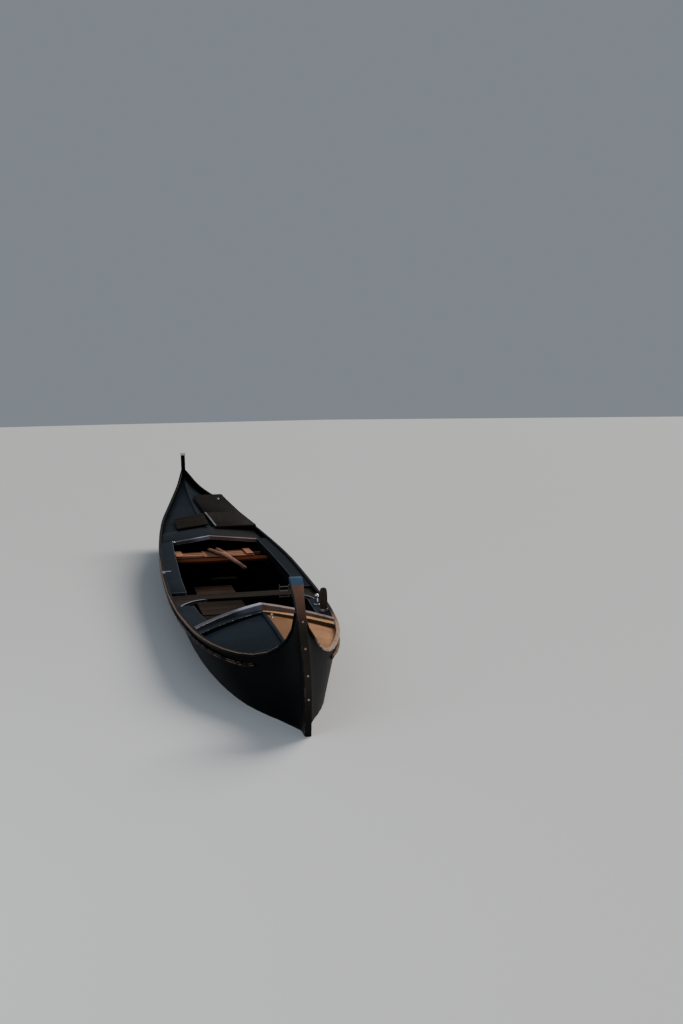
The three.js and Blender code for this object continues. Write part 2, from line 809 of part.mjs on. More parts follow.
function thwart() {
  return toHull(box([-900, THWART.fore, THWART.top - THWART.thick], [900, THWART.aft, THWART.top]));
}

// A knee spreads the thwart's end along the side, with a hollow curved edge.
function thwartKnee(side) {
  const shape = new THREE.Shape();
  const aft = THWART.fore - GAP;
  shape.moveTo(side * 900, aft);
  const root = innerHalf(side, aft, THWART.top - 10);
  shape.lineTo(side * (root - KNEE_REACH[side]), aft);
  shape.quadraticCurveTo(
    side * (root - 0.35 * KNEE_REACH[side]),
    aft - 30,
    side * (innerHalf(side, KNEE_FORE, THWART.top - 10) - 14),
    KNEE_FORE,
  );
  shape.lineTo(side * 900, KNEE_FORE);
  const settings = { depth: THWART.thick, bevelEnabled: false, curveSegments: 8 };
  const plan = new THREE.ExtrudeGeometry(shape, settings);
  plan.translate(0, 0, THWART.top - THWART.thick);
  const plate = manifoldOf(plan);
  return toHull(plate);
}

function seatSlats() {
  const low = SEAT.top - SEAT_SLAT_THICK;
  const pitch = (SEAT.aft - SEAT.fore + SEAT_SLOT) / SEAT_SLATS;
  const slats = Array.from({ length: SEAT_SLATS }, (_, i) => {
    const start = SEAT.fore + i * pitch;
    return box([SEAT.left, start, low], [SEAT.right, start + pitch - SEAT_SLOT, SEAT.top]);
  });
  const blockTop = SEAT.top + SEAT_BLOCK.tall;
  const blocks = [SEAT.left + 6, SEAT.right - 6 - SEAT_BLOCK.width].map((x) =>
    box([x, SEAT.fore + 10, SEAT.top - 4], [x + SEAT_BLOCK.width, SEAT.aft - 10, blockTop]),
  );
  const middle = box(
    [SEAT_MIDDLE.left, SEAT.fore + 4, SEAT.top - 4],
    [SEAT_MIDDLE.right, SEAT.aft - 4, SEAT.top + SEAT_MIDDLE.tall],
  );
  return join(...slats, ...blocks, middle);
}

function seatBearer({ fore, aft }) {
  const top = SEAT.top - SEAT_SLAT_THICK - GAP;
  const whole = toHull(box([-900, fore, STRINGER.top + GAP], [900, aft, top]));
  const blocks = [STARBOARD, PORT].map((side) => box(...stringerBlock(side, fore, aft)));
  return whole.subtract(join(...blocks));
}

// The room outboard of the stringer's inner edge, which a bearer stays out of.
function stringerBlock(side, fore, aft) {
  const half = innerHalf(side, (fore + aft) / 2, STRINGER.top - 20) - RIB_DEPTH + 4;
  const [inner, outer] = side === PORT ? [half, 900] : [-900, -half];
  return [
    [inner, fore - 5, 200],
    [outer, aft + 5, 700],
  ];
}

function rowerBoard({ fore, aft, left, leftAft, right, rightAft }) {
  const rings = places(fore, aft).map((y) => {
    const low = capHeight(y) + GAP + 1;
    const share = (y - fore) / (aft - fore);
    const inner = mix(left, leftAft, share);
    const outer = mix(right, rightAft, share);
    return [
      vector(inner, y, low),
      vector(outer, y, low),
      vector(outer, y, low + PLATFORM_THICK),
      vector(inner, y, low + PLATFORM_THICK),
    ];
  });
  return loft(rings);
}

// The batten on the ridge that carries the inner edge of the standing boards.
function platformBatten() {
  const { fore } = PLATFORM_BOARDS[0];
  const { aft } = PLATFORM_BOARDS[1];
  const rings = places(fore + 110, aft - 20).map((y) => {
    const share = (y - fore) / (aft - fore);
    const inner = mix(PLATFORM_BOARDS[0].left, PLATFORM_BOARDS[1].leftAft, share) + 8;
    const half = Math.max(capHalf[PORT](y) - CAP_OUT - SIDE_THICK, 30);
    const deck = (x) => capHeight(y) - AFT_DECK_DROP + aftRidgeRise(y) * (1 - x / half);
    const wide = 30;
    return [
      vector(inner, y, deck(inner) + 0.6),
      vector(inner + wide, y, deck(inner + wide) + 0.6),
      vector(inner + wide, y, capHeight(y)),
      vector(inner, y, capHeight(y)),
    ];
  });
  return loft(rings);
}

// Height of the starboard slope of the after deck.
function aftDeckTop(x, y) {
  const side = x < 0 ? STARBOARD : PORT;
  const half = Math.max(capHalf[side](y) - CAP_OUT - SIDE_THICK, 30);
  return capHeight(y) - AFT_DECK_DROP + aftRidgeRise(y) * (1 - Math.abs(x) / half);
}

// The first place aft of a given one at which something can stand on the after deck.
const aftDeckAhead = (y) => Math.max(y, AFT_DECK.fore) + 8;

function aftHatch() {
  const { fore, aft, left, right, planks, slot, thick, bearer } = HATCH;
  const lift = RIDGE_THICK + bearer - 20;
  const pitch = (aft - fore + slot) / planks;
  const plate = (start, end, low, high) =>
    loft(
      [start, end].map((y) => {
        const [a, b] = [aftDeckTop(left, y), aftDeckTop(0, y)];
        return [
          vector(left, y, a + low),
          vector(right, y, b + low),
          vector(right, y, b + high),
          vector(left, y, a + high),
        ];
      }),
    );
  const boards = Array.from({ length: planks }, (_, i) =>
    plate(fore + i * pitch, fore + (i + 1) * pitch - slot, lift, lift + thick),
  );
  const bearers = [left + 20, left + 250].map((x) => {
    const rings = places(fore + 6, aft - 6).map((y) => {
      const share = (x + 20 - left) / (right - left);
      const top = mix(aftDeckTop(left, y), aftDeckTop(0, y), share) + lift + 1;
      const low = aftDeckTop(x + 40, y) + 1;
      return [vector(x, y, low), vector(x + 40, y, low), vector(x + 40, y, top), vector(x, y, top)];
    });
    return loft(rings);
  });
  const [front, back] = [aftDeckAhead(fore), aftDeckAhead(fore) + 22];
  const riser = loft(
    [left + 4, left + 130, left + 250, -26].map((x) => {
      const share = (x - left) / (right - left);
      const top = mix(aftDeckTop(left, front), aftDeckTop(0, front), share) + lift + 1;
      const low = Math.max(aftDeckTop(x, front), aftDeckTop(x, back)) + 1;
      return [vector(x, front, low), vector(x, front, top), vector(x, back, top), vector(x, back, low)];
    }),
  );
  return join(...boards, ...bearers, riser);
}

function mooringPost() {
  const { x, y, tall, radius } = MOORING_POST;
  const profile = [
    [0, 0],
    [radius * 0.9, 0],
    [radius, tall * 0.3],
    [radius, tall * 0.75],
    [radius * 0.88, tall * 0.9],
    [radius * 0.55, tall * 0.98],
    [0, tall],
  ];
  const turned = new THREE.LatheGeometry(profile.map(([r, z]) => new THREE.Vector2(r, z)), 16);
  turned.rotateX(Math.PI / 2);
  turned.translate(x, y, capHeight(y) - SIDE_DECK_DROP + 1);
  return manifoldOf(turned);
}

function cleat() {
  const { y, stand } = CLEAT;
  const top = capHeight(y) + 3 * GAP;
  const start = CLEAT.outer - capHalf[STARBOARD](y);
  const height = top + stand;
  const bar = cylinder(vector(start, y, height), vector(start + CLEAT.length, y, height), CLEAT.radius);
  const foot = box([start + 2, y - 9, top], [start + 30, y + 9, top + stand]);
  return join(bar, foot);
}

// The lattice bracket stands on the fore face of the thwart.
function ironBracket() {
  const { x, below, width, tall, bar } = BRACKET;
  const low = THWART.top - below;
  const at = THWART.fore - GAP - bar;
  const uprights = [-1, 1].map((end) => {
    const middle = x + (end * width) / 2;
    return box([middle - bar / 2, at, low], [middle + bar / 2, at + bar, low + tall]);
  });
  const rungs = [0, 0.42, 0.78].map((share) => {
    const level = low + share * tall;
    return box([x - width / 2, at, level], [x + width / 2, at + bar, level + bar]);
  });
  return join(...uprights, ...rungs);
}

function hook() {
  const low = capHeight(HOOK.y) - SIDE_DECK_DROP + GAP;
  const base = box([HOOK.x - 26, HOOK.y - 26, low], [HOOK.x + 26, HOOK.y + 26, low + 8]);
  const [foot, head] = [vector(HOOK.x, HOOK.y, low + 4), vector(HOOK.x, HOOK.y, low + HOOK.tall)];
  const stem = cylinder(foot, head, HOOK.radius, 11);
  const ball = new THREE.SphereGeometry(22, 16, 10);
  ball.translate(HOOK.x, HOOK.y, low + HOOK.tall);
  return join(base, stem, manifoldOf(ball));
}

function floorBar() {
  const { left, right, y, size } = FLOOR_BAR;
  const low = timberTop(y) + 1;
  return box([left, y - size / 2, low], [right, y + size / 2, low + size]);
}

// The forked oar rest: its prongs lie on the seat, and its shank slopes down ahead of the front edge.
function forcola() {
  const half = 22;
  const lie = SEAT.top + SEAT_MIDDLE.tall + half + GAP;
  const run = (points) => {
    const rings = points.map(([x, y, z, wide]) => [
      vector(x - wide, y, z - half),
      vector(x + wide, y, z - half),
      vector(x + wide, y, z + half),
      vector(x - wide, y, z + half),
    ]);
    return loft(rings);
  };
  const shank = run([
    [300, 5520, lie - 112, 34],
    [268, 5660, lie - 84, 27],
    [196, 5850, lie - 46, 28],
    [140, 6000, lie - 14, 40],
    [112, 6066, lie, 50],
  ]);
  const prongs = [
    [64, 6230, 26, 6420, -24, 6580],
    [116, 6230, 102, 6420, 78, 6584],
  ].map(([x1, y1, x2, y2, x3, y3]) =>
    run([
      [112, 6060, lie, 49],
      [x1, y1, lie, 25],
      [x2, y2, lie, 21],
      [x3, y3, lie, 26],
    ]),
  );
  return join(shank, ...prongs);
}

// The boat.
const boat = new THREE.Group();
boat.name = "gondola";
const finishes = Object.fromEntries(
  Object.entries(FINISHES).map(([name, [color, roughness, metalness]]) => [
    name,
    new THREE.MeshStandardMaterial({ name, color, roughness, metalness }),
  ]),
);

function place(name, finish, solid) {
  const mesh = new THREE.Mesh(geometryOf(solid), finishes[finish].clone());
  mesh.name = name;
  boat.add(mesh);
}

place("bottom", "black_paint", bottomPlank());
place("bow_post", "black_paint", bowPost());
place("bow_strap", "iron", bowStrap());
place("stern_post", "black_paint", sternPost());
place("stern_cap", "bright_metal", sternCap());
for (const [side, word] of [[STARBOARD, "starboard"], [PORT, "port"]]) {
  place("side_" + word, "black_paint", sidePlank(side));
  place("gunwale_" + word, "worn_black", capRail(side));
  place("rub_rail_" + word, "worn_black", rubRail(side));
  place("fore_deck_" + word, "black_paint", deckHalf(side, FORE_DECK, FORE_DECK_DROP, foreRidgeRise));
  place("aft_deck_" + word, "black_paint", deckHalf(side, AFT_DECK, AFT_DECK_DROP, aftRidgeRise));
  place("side_deck_fore_" + word, "black_paint", sideDeck(side, COCKPIT.fore, NOTCH.fore));
  place("side_deck_aft_" + word, "black_paint", sideDeck(side, NOTCH.aft, COCKPIT.aft));
  place("side_frames_" + word, "worn_black", sideFrames(side));
  place("thwart_knee_" + word, "grey_wood", thwartKnee(side));
}
const foreRidge = ridgeBatten(570, COVER_FORE_EDGE.middle - 14, FORE_DECK_DROP, foreRidgeRise);
place("fore_deck_ridge", "black_paint", foreRidge);
const aftRidge = ridgeBatten(AFT_DECK.fore + 300, 10450, AFT_DECK_DROP, aftRidgeRise);
place("aft_deck_ridge", "black_paint", aftRidge);
place("fore_coaming", "worn_black", foreCoaming());
place("fore_covering_board", "black_paint", foreCover());
place("aft_coaming", "worn_black", coaming(AFT_COAMING));
place("aft_covering_board", "black_paint", coaming(AFT_COVER));
place("floor_timbers", "worn_black", floorTimbers());
for (const panel of FLOOR_PANELS) place(panel.name, "grey_wood", floorPanel(panel));
place("thwart", "grey_wood", thwart());
place("seat_slats", "pale_wood", seatSlats());
place("seat_front_board", "varnished_wood", seatBearer(SEAT_FRONT));
place("seat_rear_bearer", "varnished_wood", seatBearer(SEAT_REAR));
for (const board of PLATFORM_BOARDS) place(board.name, "grey_wood", rowerBoard(board));
place("rower_board_batten", "pale_wood", platformBatten());
place("aft_hatch", "grey_wood", aftHatch());
place("mooring_post", "grey_wood", mooringPost());
place("cleat_starboard", "bright_metal", cleat());
place("iron_bracket", "iron", ironBracket());
place("deck_fitting_port", "bright_metal", hook());
place("floor_bar", "pale_wood", floorBar());
place("forcola", "pale_wood", forcola());

// The origin goes under the middle of the boat, on its lowest level.
const bounds = new THREE.Box3().setFromObject(boat);
const middle = bounds.getCenter(new THREE.Vector3());
boat.position.set(-middle.x, -middle.y, -bounds.min.z);

export default boat;
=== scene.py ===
import math

import bmesh
import bpy
from mathutils import Matrix, Vector
from mathutils.bvhtree import BVHTree


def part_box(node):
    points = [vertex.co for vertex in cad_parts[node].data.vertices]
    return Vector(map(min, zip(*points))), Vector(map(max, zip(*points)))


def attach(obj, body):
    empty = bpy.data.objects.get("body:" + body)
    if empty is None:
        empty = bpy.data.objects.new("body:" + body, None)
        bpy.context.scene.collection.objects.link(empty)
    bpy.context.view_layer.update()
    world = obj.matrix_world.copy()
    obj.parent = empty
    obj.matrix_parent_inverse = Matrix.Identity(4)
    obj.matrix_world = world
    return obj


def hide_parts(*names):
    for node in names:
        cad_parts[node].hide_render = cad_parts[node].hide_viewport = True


bl_info = {
    "name": "Gondola Finishes",
    "version": (1, 0, 0),
    "blender": (4, 5, 0),
    "location": "3D View > Sidebar > Gondola",
    "description": "Makes the boards, rails, fittings and finishes of a gondola",
    "category": "Object",
}

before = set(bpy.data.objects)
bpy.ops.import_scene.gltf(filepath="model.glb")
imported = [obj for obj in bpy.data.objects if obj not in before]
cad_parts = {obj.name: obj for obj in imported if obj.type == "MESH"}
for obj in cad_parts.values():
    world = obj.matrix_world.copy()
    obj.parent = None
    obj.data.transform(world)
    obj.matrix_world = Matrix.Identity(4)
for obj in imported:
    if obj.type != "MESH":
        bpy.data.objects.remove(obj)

BODY = "root"

# The foot of the bow post at the waterline. Places are measured from it: to port, aft and up.
BOW_FOOT = Vector((-0.0434, -5.41798, 0.1208))
WATERLINE = BOW_FOOT.z

# The camera's place, measured from there, its three directions, its lens and how far it sees.
CAMERA_PLACE = Vector((-1.30426613, -7.12116094, 2.28186359))
CAMERA_RIGHT = Vector((0.97595454, -0.21699916, -0.02059387))
CAMERA_UP = Vector((0.04208916, 0.094906, 0.99459608))
CAMERA_AHEAD = Vector((0.21387203, 0.97154733, -0.10175725))
CAMERA_LENS_MM = 38.16
CAMERA_SENSOR_MM = 36.0
CAMERA_REACH = 500.0

# A soft warm key light from aft, a cool fill light from ahead, and the light from all round.
KEY_PLACE = Vector((5.0, 4.5, 6.0))
KEY_COLOR = (1.0, 0.93, 0.84)
KEY_STRENGTH = 2.6
KEY_ANGLE = math.radians(35)
FILL_PLACE = Vector((-6.0, -9.0, 5.0))
FILL_COLOR = (0.84, 0.92, 1.0)
FILL_WATTS = 170.0
FILL_SIZE = 6.0
LAMPS_AIM = Vector((0, 0, 0.4))
SKY_COLOR = (0.8, 0.89, 1.0, 1.0)

# How a copy of a CAD node is cleaned, smoothed and rounded.
MERGE_DISTANCE = 0.00002
FLAT_ANGLE = math.radians(0.8)
SHARP_ANGLE = math.radians(22)
BEVEL_ANGLE = math.radians(35)

# An edge is rounded if it is longer than this many times the rounding.
LONG_EDGE = 6

# A face looks up if the upward part of its normal is over the first of these, and takes nails
# if it is over the second.
LOOKS_UP = 0.8
TAKES_NAILS = 0.9

# On a gunwale's outer corner the upward part of a face's normal lies between the first two
# numbers, and its outboard part is over the third.
CORNER_HEIGHTS = (0.3, 0.95)
CORNER_OUTBOARD = 0.15

# Roundings that differ from the boards'.
POST_ROUNDING = 0.004
STRAP_ROUNDING = 0.0015
RUB_RAIL_ROUNDING = 0.004
SIDE_DECK_ROUNDING = 0.005
KNEE_ROUNDING = 0.005
HEAVY_BOARD_ROUNDING = 0.004
THIN_ROUNDING = 0.002
FITTING_ROUNDING = 0.001

# The floor's opening ends inside the hull's skin, this far from the outside.
HALF_SKIN = 0.009

# The hull's outline is read between cuts this far above and below the waterline.
OUTLINE_SLICE = 0.004

# Corners of the opening that lie closer together than this become one.
OPENING_STEP = 0.015

# A height over every piece, from which lines are dropped onto the boards, and a place ahead of
# the bow, from which they run to the strap.
ABOVE_ALL = 3.0
AHEAD_OF_BOW = -1.0

# Nail heads in the boards: columns and rows on each board, and their distance from its edges.
NAIL_RADIUS = 0.005
NAIL_HEIGHT = 0.0015
NAILS = {
    "floorboards_fore": (2, 9, 0.04),
    "floorboards_middle": (2, 13, 0.04),
    "floorboards_aft": (2, 9, 0.04),
    "thwart": (2, 2, 0.07),
    "seat_slats": (2, 8, 0.02),
    "rower_board_fore": (4, 6, 0.03),
    "rower_board_aft": (4, 6, 0.03),
    "aft_hatch": (3, 5, 0.025),
}

# Heights of the bolt heads on the strap, above the waterline, and their height over their radius.
STRAP_BOLTS = (0.777, 0.605, 0.434, 0.27)
BOLT_FLATNESS = 0.55

# The oar rest lies with its fork on the seat, at this height over the waterline.
REST_LEVEL = 0.4483

# Stations of its shank: place, measured up from that height, half width and half height.
REST_SHANK = (
    ((0.3, 5.523, -0.1115), 0.026, 0.018),
    ((0.297, 5.54, -0.108), 0.032, 0.021),
    ((0.268, 5.66, -0.084), 0.026, 0.021),
    ((0.196, 5.85, -0.046), 0.026, 0.021),
    ((0.15, 5.98, -0.017), 0.034, 0.021),
    ((0.112, 6.08, 0.0), 0.042, 0.02),
    ((0.1, 6.12, 0.0), 0.03, 0.016),
)

# Stations of each prong: the fork's middle to port and aft, the prong's distance from it, half
# width and half height.
REST_PRONG = (
    (0.112, 6.05, 0.012, 0.026, 0.019),
    (0.1, 6.12, 0.026, 0.024, 0.021),
    (0.082, 6.23, 0.036, 0.021, 0.021),
    (0.058, 6.4, 0.042, 0.02, 0.021),
    (0.028, 6.55, 0.05, 0.022, 0.021),
    (0.024, 6.578, 0.051, 0.014, 0.014),
)

# Turned profiles. The mooring post's are shares of its radius and height, and its collar's are
# shares of its radius and heights. The knob's and the plate's are radii and heights.
TURNED_STEPS = 32
MOORING_POST = (
    (0.0, 0.0),
    (0.88, 0.0),
    (0.93, 0.08),
    (0.98, 0.3),
    (0.97, 0.6),
    (0.93, 0.8),
    (0.84, 0.91),
    (0.62, 0.975),
    (0.3, 0.995),
    (0.0, 1.0),
)
COLLAR = ((0.9, 0.0), (1.12, 0.002), (1.14, 0.02), (1.04, 0.03), (0.97, 0.032), (0.9, 0.0))
KNOB = (
    (0.0, -0.004),
    (0.014, -0.004),
    (0.014, 0.003),
    (0.006, 0.006),
    (0.006, 0.014),
    (0.012, 0.021),
    (0.013, 0.028),
    (0.009, 0.035),
    (0.0, 0.038),
)
PLATE = (
    (0.0, -0.003),
    (0.018, -0.003),
    (0.019, 0.003),
    (0.016, 0.006),
    (0.012, 0.006),
    (0.01, 0.004),
    (0.0, 0.004),
)

# Where the small fittings stand, to port and aft.
KNOB_PLACE = (0.05, 1.86)
PLATE_PLACE = (-0.46, 6.63)
EYE_PLACE = (0.396, 9.3)

# The eye's half width, height and bar radius, and the degrees between the points of its arch.
EYE_HALF = 0.011
EYE_HEIGHT = 0.03
EYE_BAR = 0.003
EYE_TURN = 20

# The strip along the rower's boards: its ends, half sizes, and how far its middle is sunk.
STRIP_ENDS = ((0.156, 7.36), (0.112, 8.35))
STRIP_HALF = (0.013, 0.008)
STRIP_SUNK = Vector((0, 0, 0.001))

# Where the looks change: ranges along the boat, across it and up, in which one fades into the next.
WORN_TO = (BOW_FOOT.y + 5.0, BOW_FOOT.y + 7.0)
# Painted warm light in streaks on the port bow: before the first range along the boat, past the
# second across it.
WARM_STREAKS_TO = (BOW_FOOT.y + 1.5, BOW_FOOT.y + 2.4)
WARM_STREAKS_FROM = (BOW_FOOT.x + 0.12, BOW_FOOT.x + 0.2)
# Painted shade near the fore deck's middle line, fading out across this range.
SHADED_MIDDLE_TO = (BOW_FOOT.x + 0.17, BOW_FOOT.x + 0.33)
MIDDLE_LINE = (BOW_FOOT.x - 0.012, BOW_FOOT.x + 0.012)
# Painted shade on the coamings' starboard end, fading out across this range.
ARM_SHADE_TO = (BOW_FOOT.x - 0.27, BOW_FOOT.x - 0.12)
REST_FOOT_TO = (BOW_FOOT.y + 5.6, BOW_FOOT.y + 5.78)
WEED_TO = (WATERLINE - 0.01, WATERLINE + 0.05)
SAT_ON = (BOW_FOOT.x - 0.09, BOW_FOOT.x + 0.08)
SAT_FADE = 0.03
# Painted shade on the bearers below this height.
BEARER_SHADE_BELOW = WATERLINE + 0.366
DARK_FADE = 0.006

# Colours of single places.
WEED = (0.022, 0.03, 0.018)
# Painted warm light: the streaks on the port bow of the gunwale caps and of the rubbing rails.
CAP_WARM_STREAKS = (0.42, 0.29, 0.21)
RAIL_WARM_STREAKS = (0.2, 0.12, 0.075)
# Painted sky reflection on the tops of the posts.
POST_SKY_REFLECTION = (0.07, 0.125, 0.2)
# Chips in the painted warm light on the fore deck's port slope.
WARM_LIT_CHIPS = (0.42, 0.26, 0.16)
SIDE_DECK_EDGE = (0.11, 0.12, 0.15)
COAMING_CHIPS = (0.5, 0.42, 0.4)
# Painted warm light on the port half of the fore covering board.
COVER_WARM_LIGHT = (0.6, 0.32, 0.14)
COVER_DARK = (0.017, 0.016, 0.016)
# Painted shade on painted faces that don't look up.
SIDE_SHADE_PAINT = (0.006, 0.007, 0.008)
# Painted shade on wooden faces that don't look up.
SIDE_SHADE_WOOD = (0.004, 0.004, 0.004)
FRAME_PAINT = (0.007, 0.007, 0.007)
BAR_EDGE = (0.5, 0.45, 0.4)
VARNISH_EDGE = (0.5, 0.18, 0.09)
# Painted shade on the sides of the seat slats.
SLAT_SIDE_SHADE = (0.02, 0.012, 0.008)
SAT_DARK = (0.01, 0.008, 0.008)
SAT_LIGHT = (0.036, 0.025, 0.026)
STRAP_MIDDLE = (0.032, 0.025, 0.019)
STRAP_LOW = (0.006, 0.0055, 0.004)
BOLT_METAL = (0.42, 0.3, 0.27)
CAP_METAL = (0.75, 0.68, 0.62)
BRACKET_IRON = (0.3, 0.25, 0.24)
NAIL_IRON = (0.09, 0.075, 0.068)
NAIL_RUST = (0.05, 0.028, 0.018)

# Woods, each a light and a dark colour.
KNEE_WOOD = ((0.05, 0.038, 0.034), (0.018, 0.014, 0.012))
# Lighter than the other boards' wood: painted light on the floor of the main well.
LIT_MAIN_FLOOR_WOOD = ((0.057, 0.041, 0.031), (0.022, 0.016, 0.0125))
# Far lighter again: a painted pool of warm light on the stern floor.
LIT_STERN_FLOOR_WOOD = ((0.46, 0.28, 0.19), (0.19, 0.12, 0.085))
BAR_WOOD = ((0.32, 0.26, 0.2), (0.15, 0.11, 0.08))
BATTEN_WOOD = ((0.32, 0.31, 0.32), (0.15, 0.14, 0.14))
MOORING_WOOD = ((0.08, 0.062, 0.05), (0.026, 0.021, 0.017))

# Stretches of a wood's rings and of its fibre, by the axis that the grain runs along.
RINGS = {"X": (0.35, 9, 9), "Y": (9, 0.35, 9), "Z": (9, 9, 0.35)}
FIBRE = {"X": (1.2, 60, 60), "Y": (60, 1.2, 60), "Z": (60, 60, 1.2)}


def place(x, y, z):
    """A point measured from the foot of the bow post, in the part's frame."""
    return BOW_FOOT + Vector((x, y, z))


# Shader maths.


class Value:
    """A socket that numbers and other sockets can be combined with."""

    def __init__(self, graph, socket):
        self.graph = graph
        self.socket = socket

    def math(self, operation, other=None, swap=False):
        """Adds a Math node, with the other value first if they are swapped."""
        first, second = (other, self) if swap else (self, other)
        sockets = {0: first}
        if second is not None:
            sockets[1] = second
        return self.graph.node("ShaderNodeMath", {"operation": operation}, sockets)

    def __add__(self, other):
        return self.math("ADD", other)

    def __radd__(self, other):
        return self.math("ADD", other)

    def __sub__(self, other):
        return self.math("SUBTRACT", other)

    def __rsub__(self, other):
        return self.math("SUBTRACT", other, swap=True)

    def __mul__(self, other):
        return self.math("MULTIPLY", other)

    def __rmul__(self, other):
        return self.math("MULTIPLY", other)

    def step(self, low, high):
        """0 below low, 1 above high, and smooth between."""
        settings = {"interpolation_type": "SMOOTHSTEP"}
        sockets = {"Value": self, "From Min": low, "From Max": high}
        return self.graph.node("ShaderNodeMapRange", settings, sockets)


class Graph:
    """The nodes of one material, around one Principled shader."""

    def __init__(self, name, **fixed):
        self.material = bpy.data.materials.new(name)
        self.material.use_nodes = True
        self.tree = self.material.node_tree
        self.tree.nodes.clear()
        self.shader = self.tree.nodes.new("ShaderNodeBsdfPrincipled")
        output = self.tree.nodes.new("ShaderNodeOutputMaterial")
        self.tree.links.new(self.shader.outputs["BSDF"], output.inputs["Surface"])
        for key, value in fixed.items():
            self.shader.inputs[key.replace("_", " ")].default_value = value
        self.spot = self.node("ShaderNodeTexCoord", output="Object")

    def node(self, kind, settings=None, sockets=None, output=0):
        """Adds a node: its settings first, then the values or links of its sockets."""
        made = self.tree.nodes.new(kind)
        for key, value in (settings or {}).items():
            setattr(made, key, value)
        for key, value in (sockets or {}).items():
            if isinstance(value, Value):
                self.tree.links.new(value.socket, made.inputs[key])
            else:
                made.inputs[key].default_value = value
        return Value(self, made.outputs[output])

    def feed(self, name, value):
        """Links a value to a socket of the shader."""
        self.tree.links.new(value.socket, self.shader.inputs[name])

    def noise(self, scale, detail, rough, seed, stretch=(1, 1, 1)):
        """Noise over the surface, its coordinates scaled along each axis first."""
        mapping = {"Vector": self.spot, "Scale": stretch}
        sockets = {
            "Vector": self.node("ShaderNodeMapping", None, mapping),
            "W": seed,
            "Scale": scale,
            "Detail": detail,
            "Roughness": rough,
        }
        return self.node("ShaderNodeTexNoise", {"noise_dimensions": "4D"}, sockets)

    def axis(self, letter):
        """The surface's coordinate along one axis."""
        sockets = {"Vector": self.spot}
        return self.node("ShaderNodeSeparateXYZ", None, sockets, output="XYZ".index(letter))

    def mark(self, name):
        """A face attribute: bevel for rounded edges, top for faces that look up."""
        settings = {"attribute_type": "GEOMETRY", "attribute_name": name}
        return self.node("ShaderNodeAttribute", settings, output="Fac")

    def mix(self, share, low, high):
        """A colour between two colours."""
        settings = {"data_type": "RGBA"}
        return self.node("ShaderNodeMix", settings, {0: share, 6: low, 7: high}, output=2)

    def bump(self, height, distance, strength):
        """Relief from a height, on the shader's normal."""
        sockets = {"Height": height, "Distance": distance, "Strength": strength}
        self.feed("Normal", self.node("ShaderNodeBump", None, sockets))


def shade(color, factor=1.0):
    """A solid colour, with its light changed by a factor."""
    return (color[0] * factor, color[1] * factor, color[2] * factor, 1.0)


# Finishes.


def paint(
    name,
    color,
    worn,
    wear,
    rough=0.3,
    dust=0.25,
    shine=0.02,
    fading=0.0,
    warm_streaks=None,
    shaded_middle=None,
    sky_top_reflection=None,
    fouled=False,
):
    """Old brushed boat paint, rubbed through to a worn colour along its edges.

    fading ends the wear amidships, and fouled puts weed under the waterline. The three colours
    between them are painted light: warm streaks on the port bow, shade near the middle line, and
    a sky reflection on top.
    """
    graph = Graph(name, Specular_IOR_Level=shine)
    cloudy = graph.noise(2.3, 5.0, 0.55, seed=1.0)
    brushed = graph.noise(14.0, 4.0, 0.6, seed=2.0, stretch=(6, 0.5, 6))
    speck = graph.noise(260.0, 2.0, 0.7, seed=3.0)
    chips = graph.noise(38.0, 6.0, 0.65, seed=4.0, stretch=(1, 0.35, 1))
    shown = graph.mix(cloudy.step(0.35, 0.7), shade(color, 0.75), shade(color, 1.3))
    shown = graph.mix(brushed.step(0.45, 0.8) * 0.35, shown, shade(color, 1.9))
    dusty = graph.mark("top") * speck.step(0.5, 0.75) * dust
    shown = graph.mix(dusty, shown, shade(worn))
    rubbed = graph.mark("bevel") * chips.step(0.62 - wear * 0.4, 0.78 - wear * 0.4)
    rubbed = rubbed * (1.0 - graph.axis("Y").step(*WORN_TO) * fading)
    scuffed = chips.step(0.74 - wear * 0.1, 0.84 - wear * 0.1) * wear
    bare = (rubbed + scuffed).step(0.0, 1.0)
    shown = graph.mix(bare, shown, shade(worn))
    # Painted warm light in streaks on the port bow.
    if warm_streaks:
        shown = paint_warm_streaks(graph, shown, warm_streaks)
    # Painted shade near the middle line, a darker tan than the painted warm light further out.
    if shaded_middle:
        near = 1.0 - (graph.axis("X") + cloudy * 0.06).step(*SHADED_MIDDLE_TO)
        shown = graph.mix(near * 0.85, shown, shade(shaded_middle))
    # Painted sky reflection on the faces that look up.
    if sky_top_reflection:
        shown = graph.mix(graph.mark("top") * 0.9, shown, shade(sky_top_reflection))
    if fouled:
        weed = 1.0 - (graph.axis("Z") + cloudy * 0.05).step(*WEED_TO)
        outside = 1.0 - graph.mark("top")
        shown = graph.mix(weed * outside * 0.8, shown, shade(WEED))
    graph.feed("Base Color", shown)
    graph.feed("Roughness", cloudy * 0.16 + bare * 0.3 + dusty * 0.3 + (rough - 0.06))
    graph.bump(brushed * 0.5 + speck * 0.2 - bare * 0.6, 0.0012, 0.5)
    return graph.material


def paint_warm_streaks(graph, shown, color):
    """Painted warm light in streaks on the port bow."""
    near = 1.0 - graph.axis("Y").step(*WARM_STREAKS_TO)
    streak = graph.noise(9.0, 4.0, 0.6, seed=5.0, stretch=(5, 0.5, 5)).step(0.3, 0.55)
    port = graph.axis("X").step(*WARM_STREAKS_FROM)
    return graph.mix(near * streak * port, shown, shade(color))


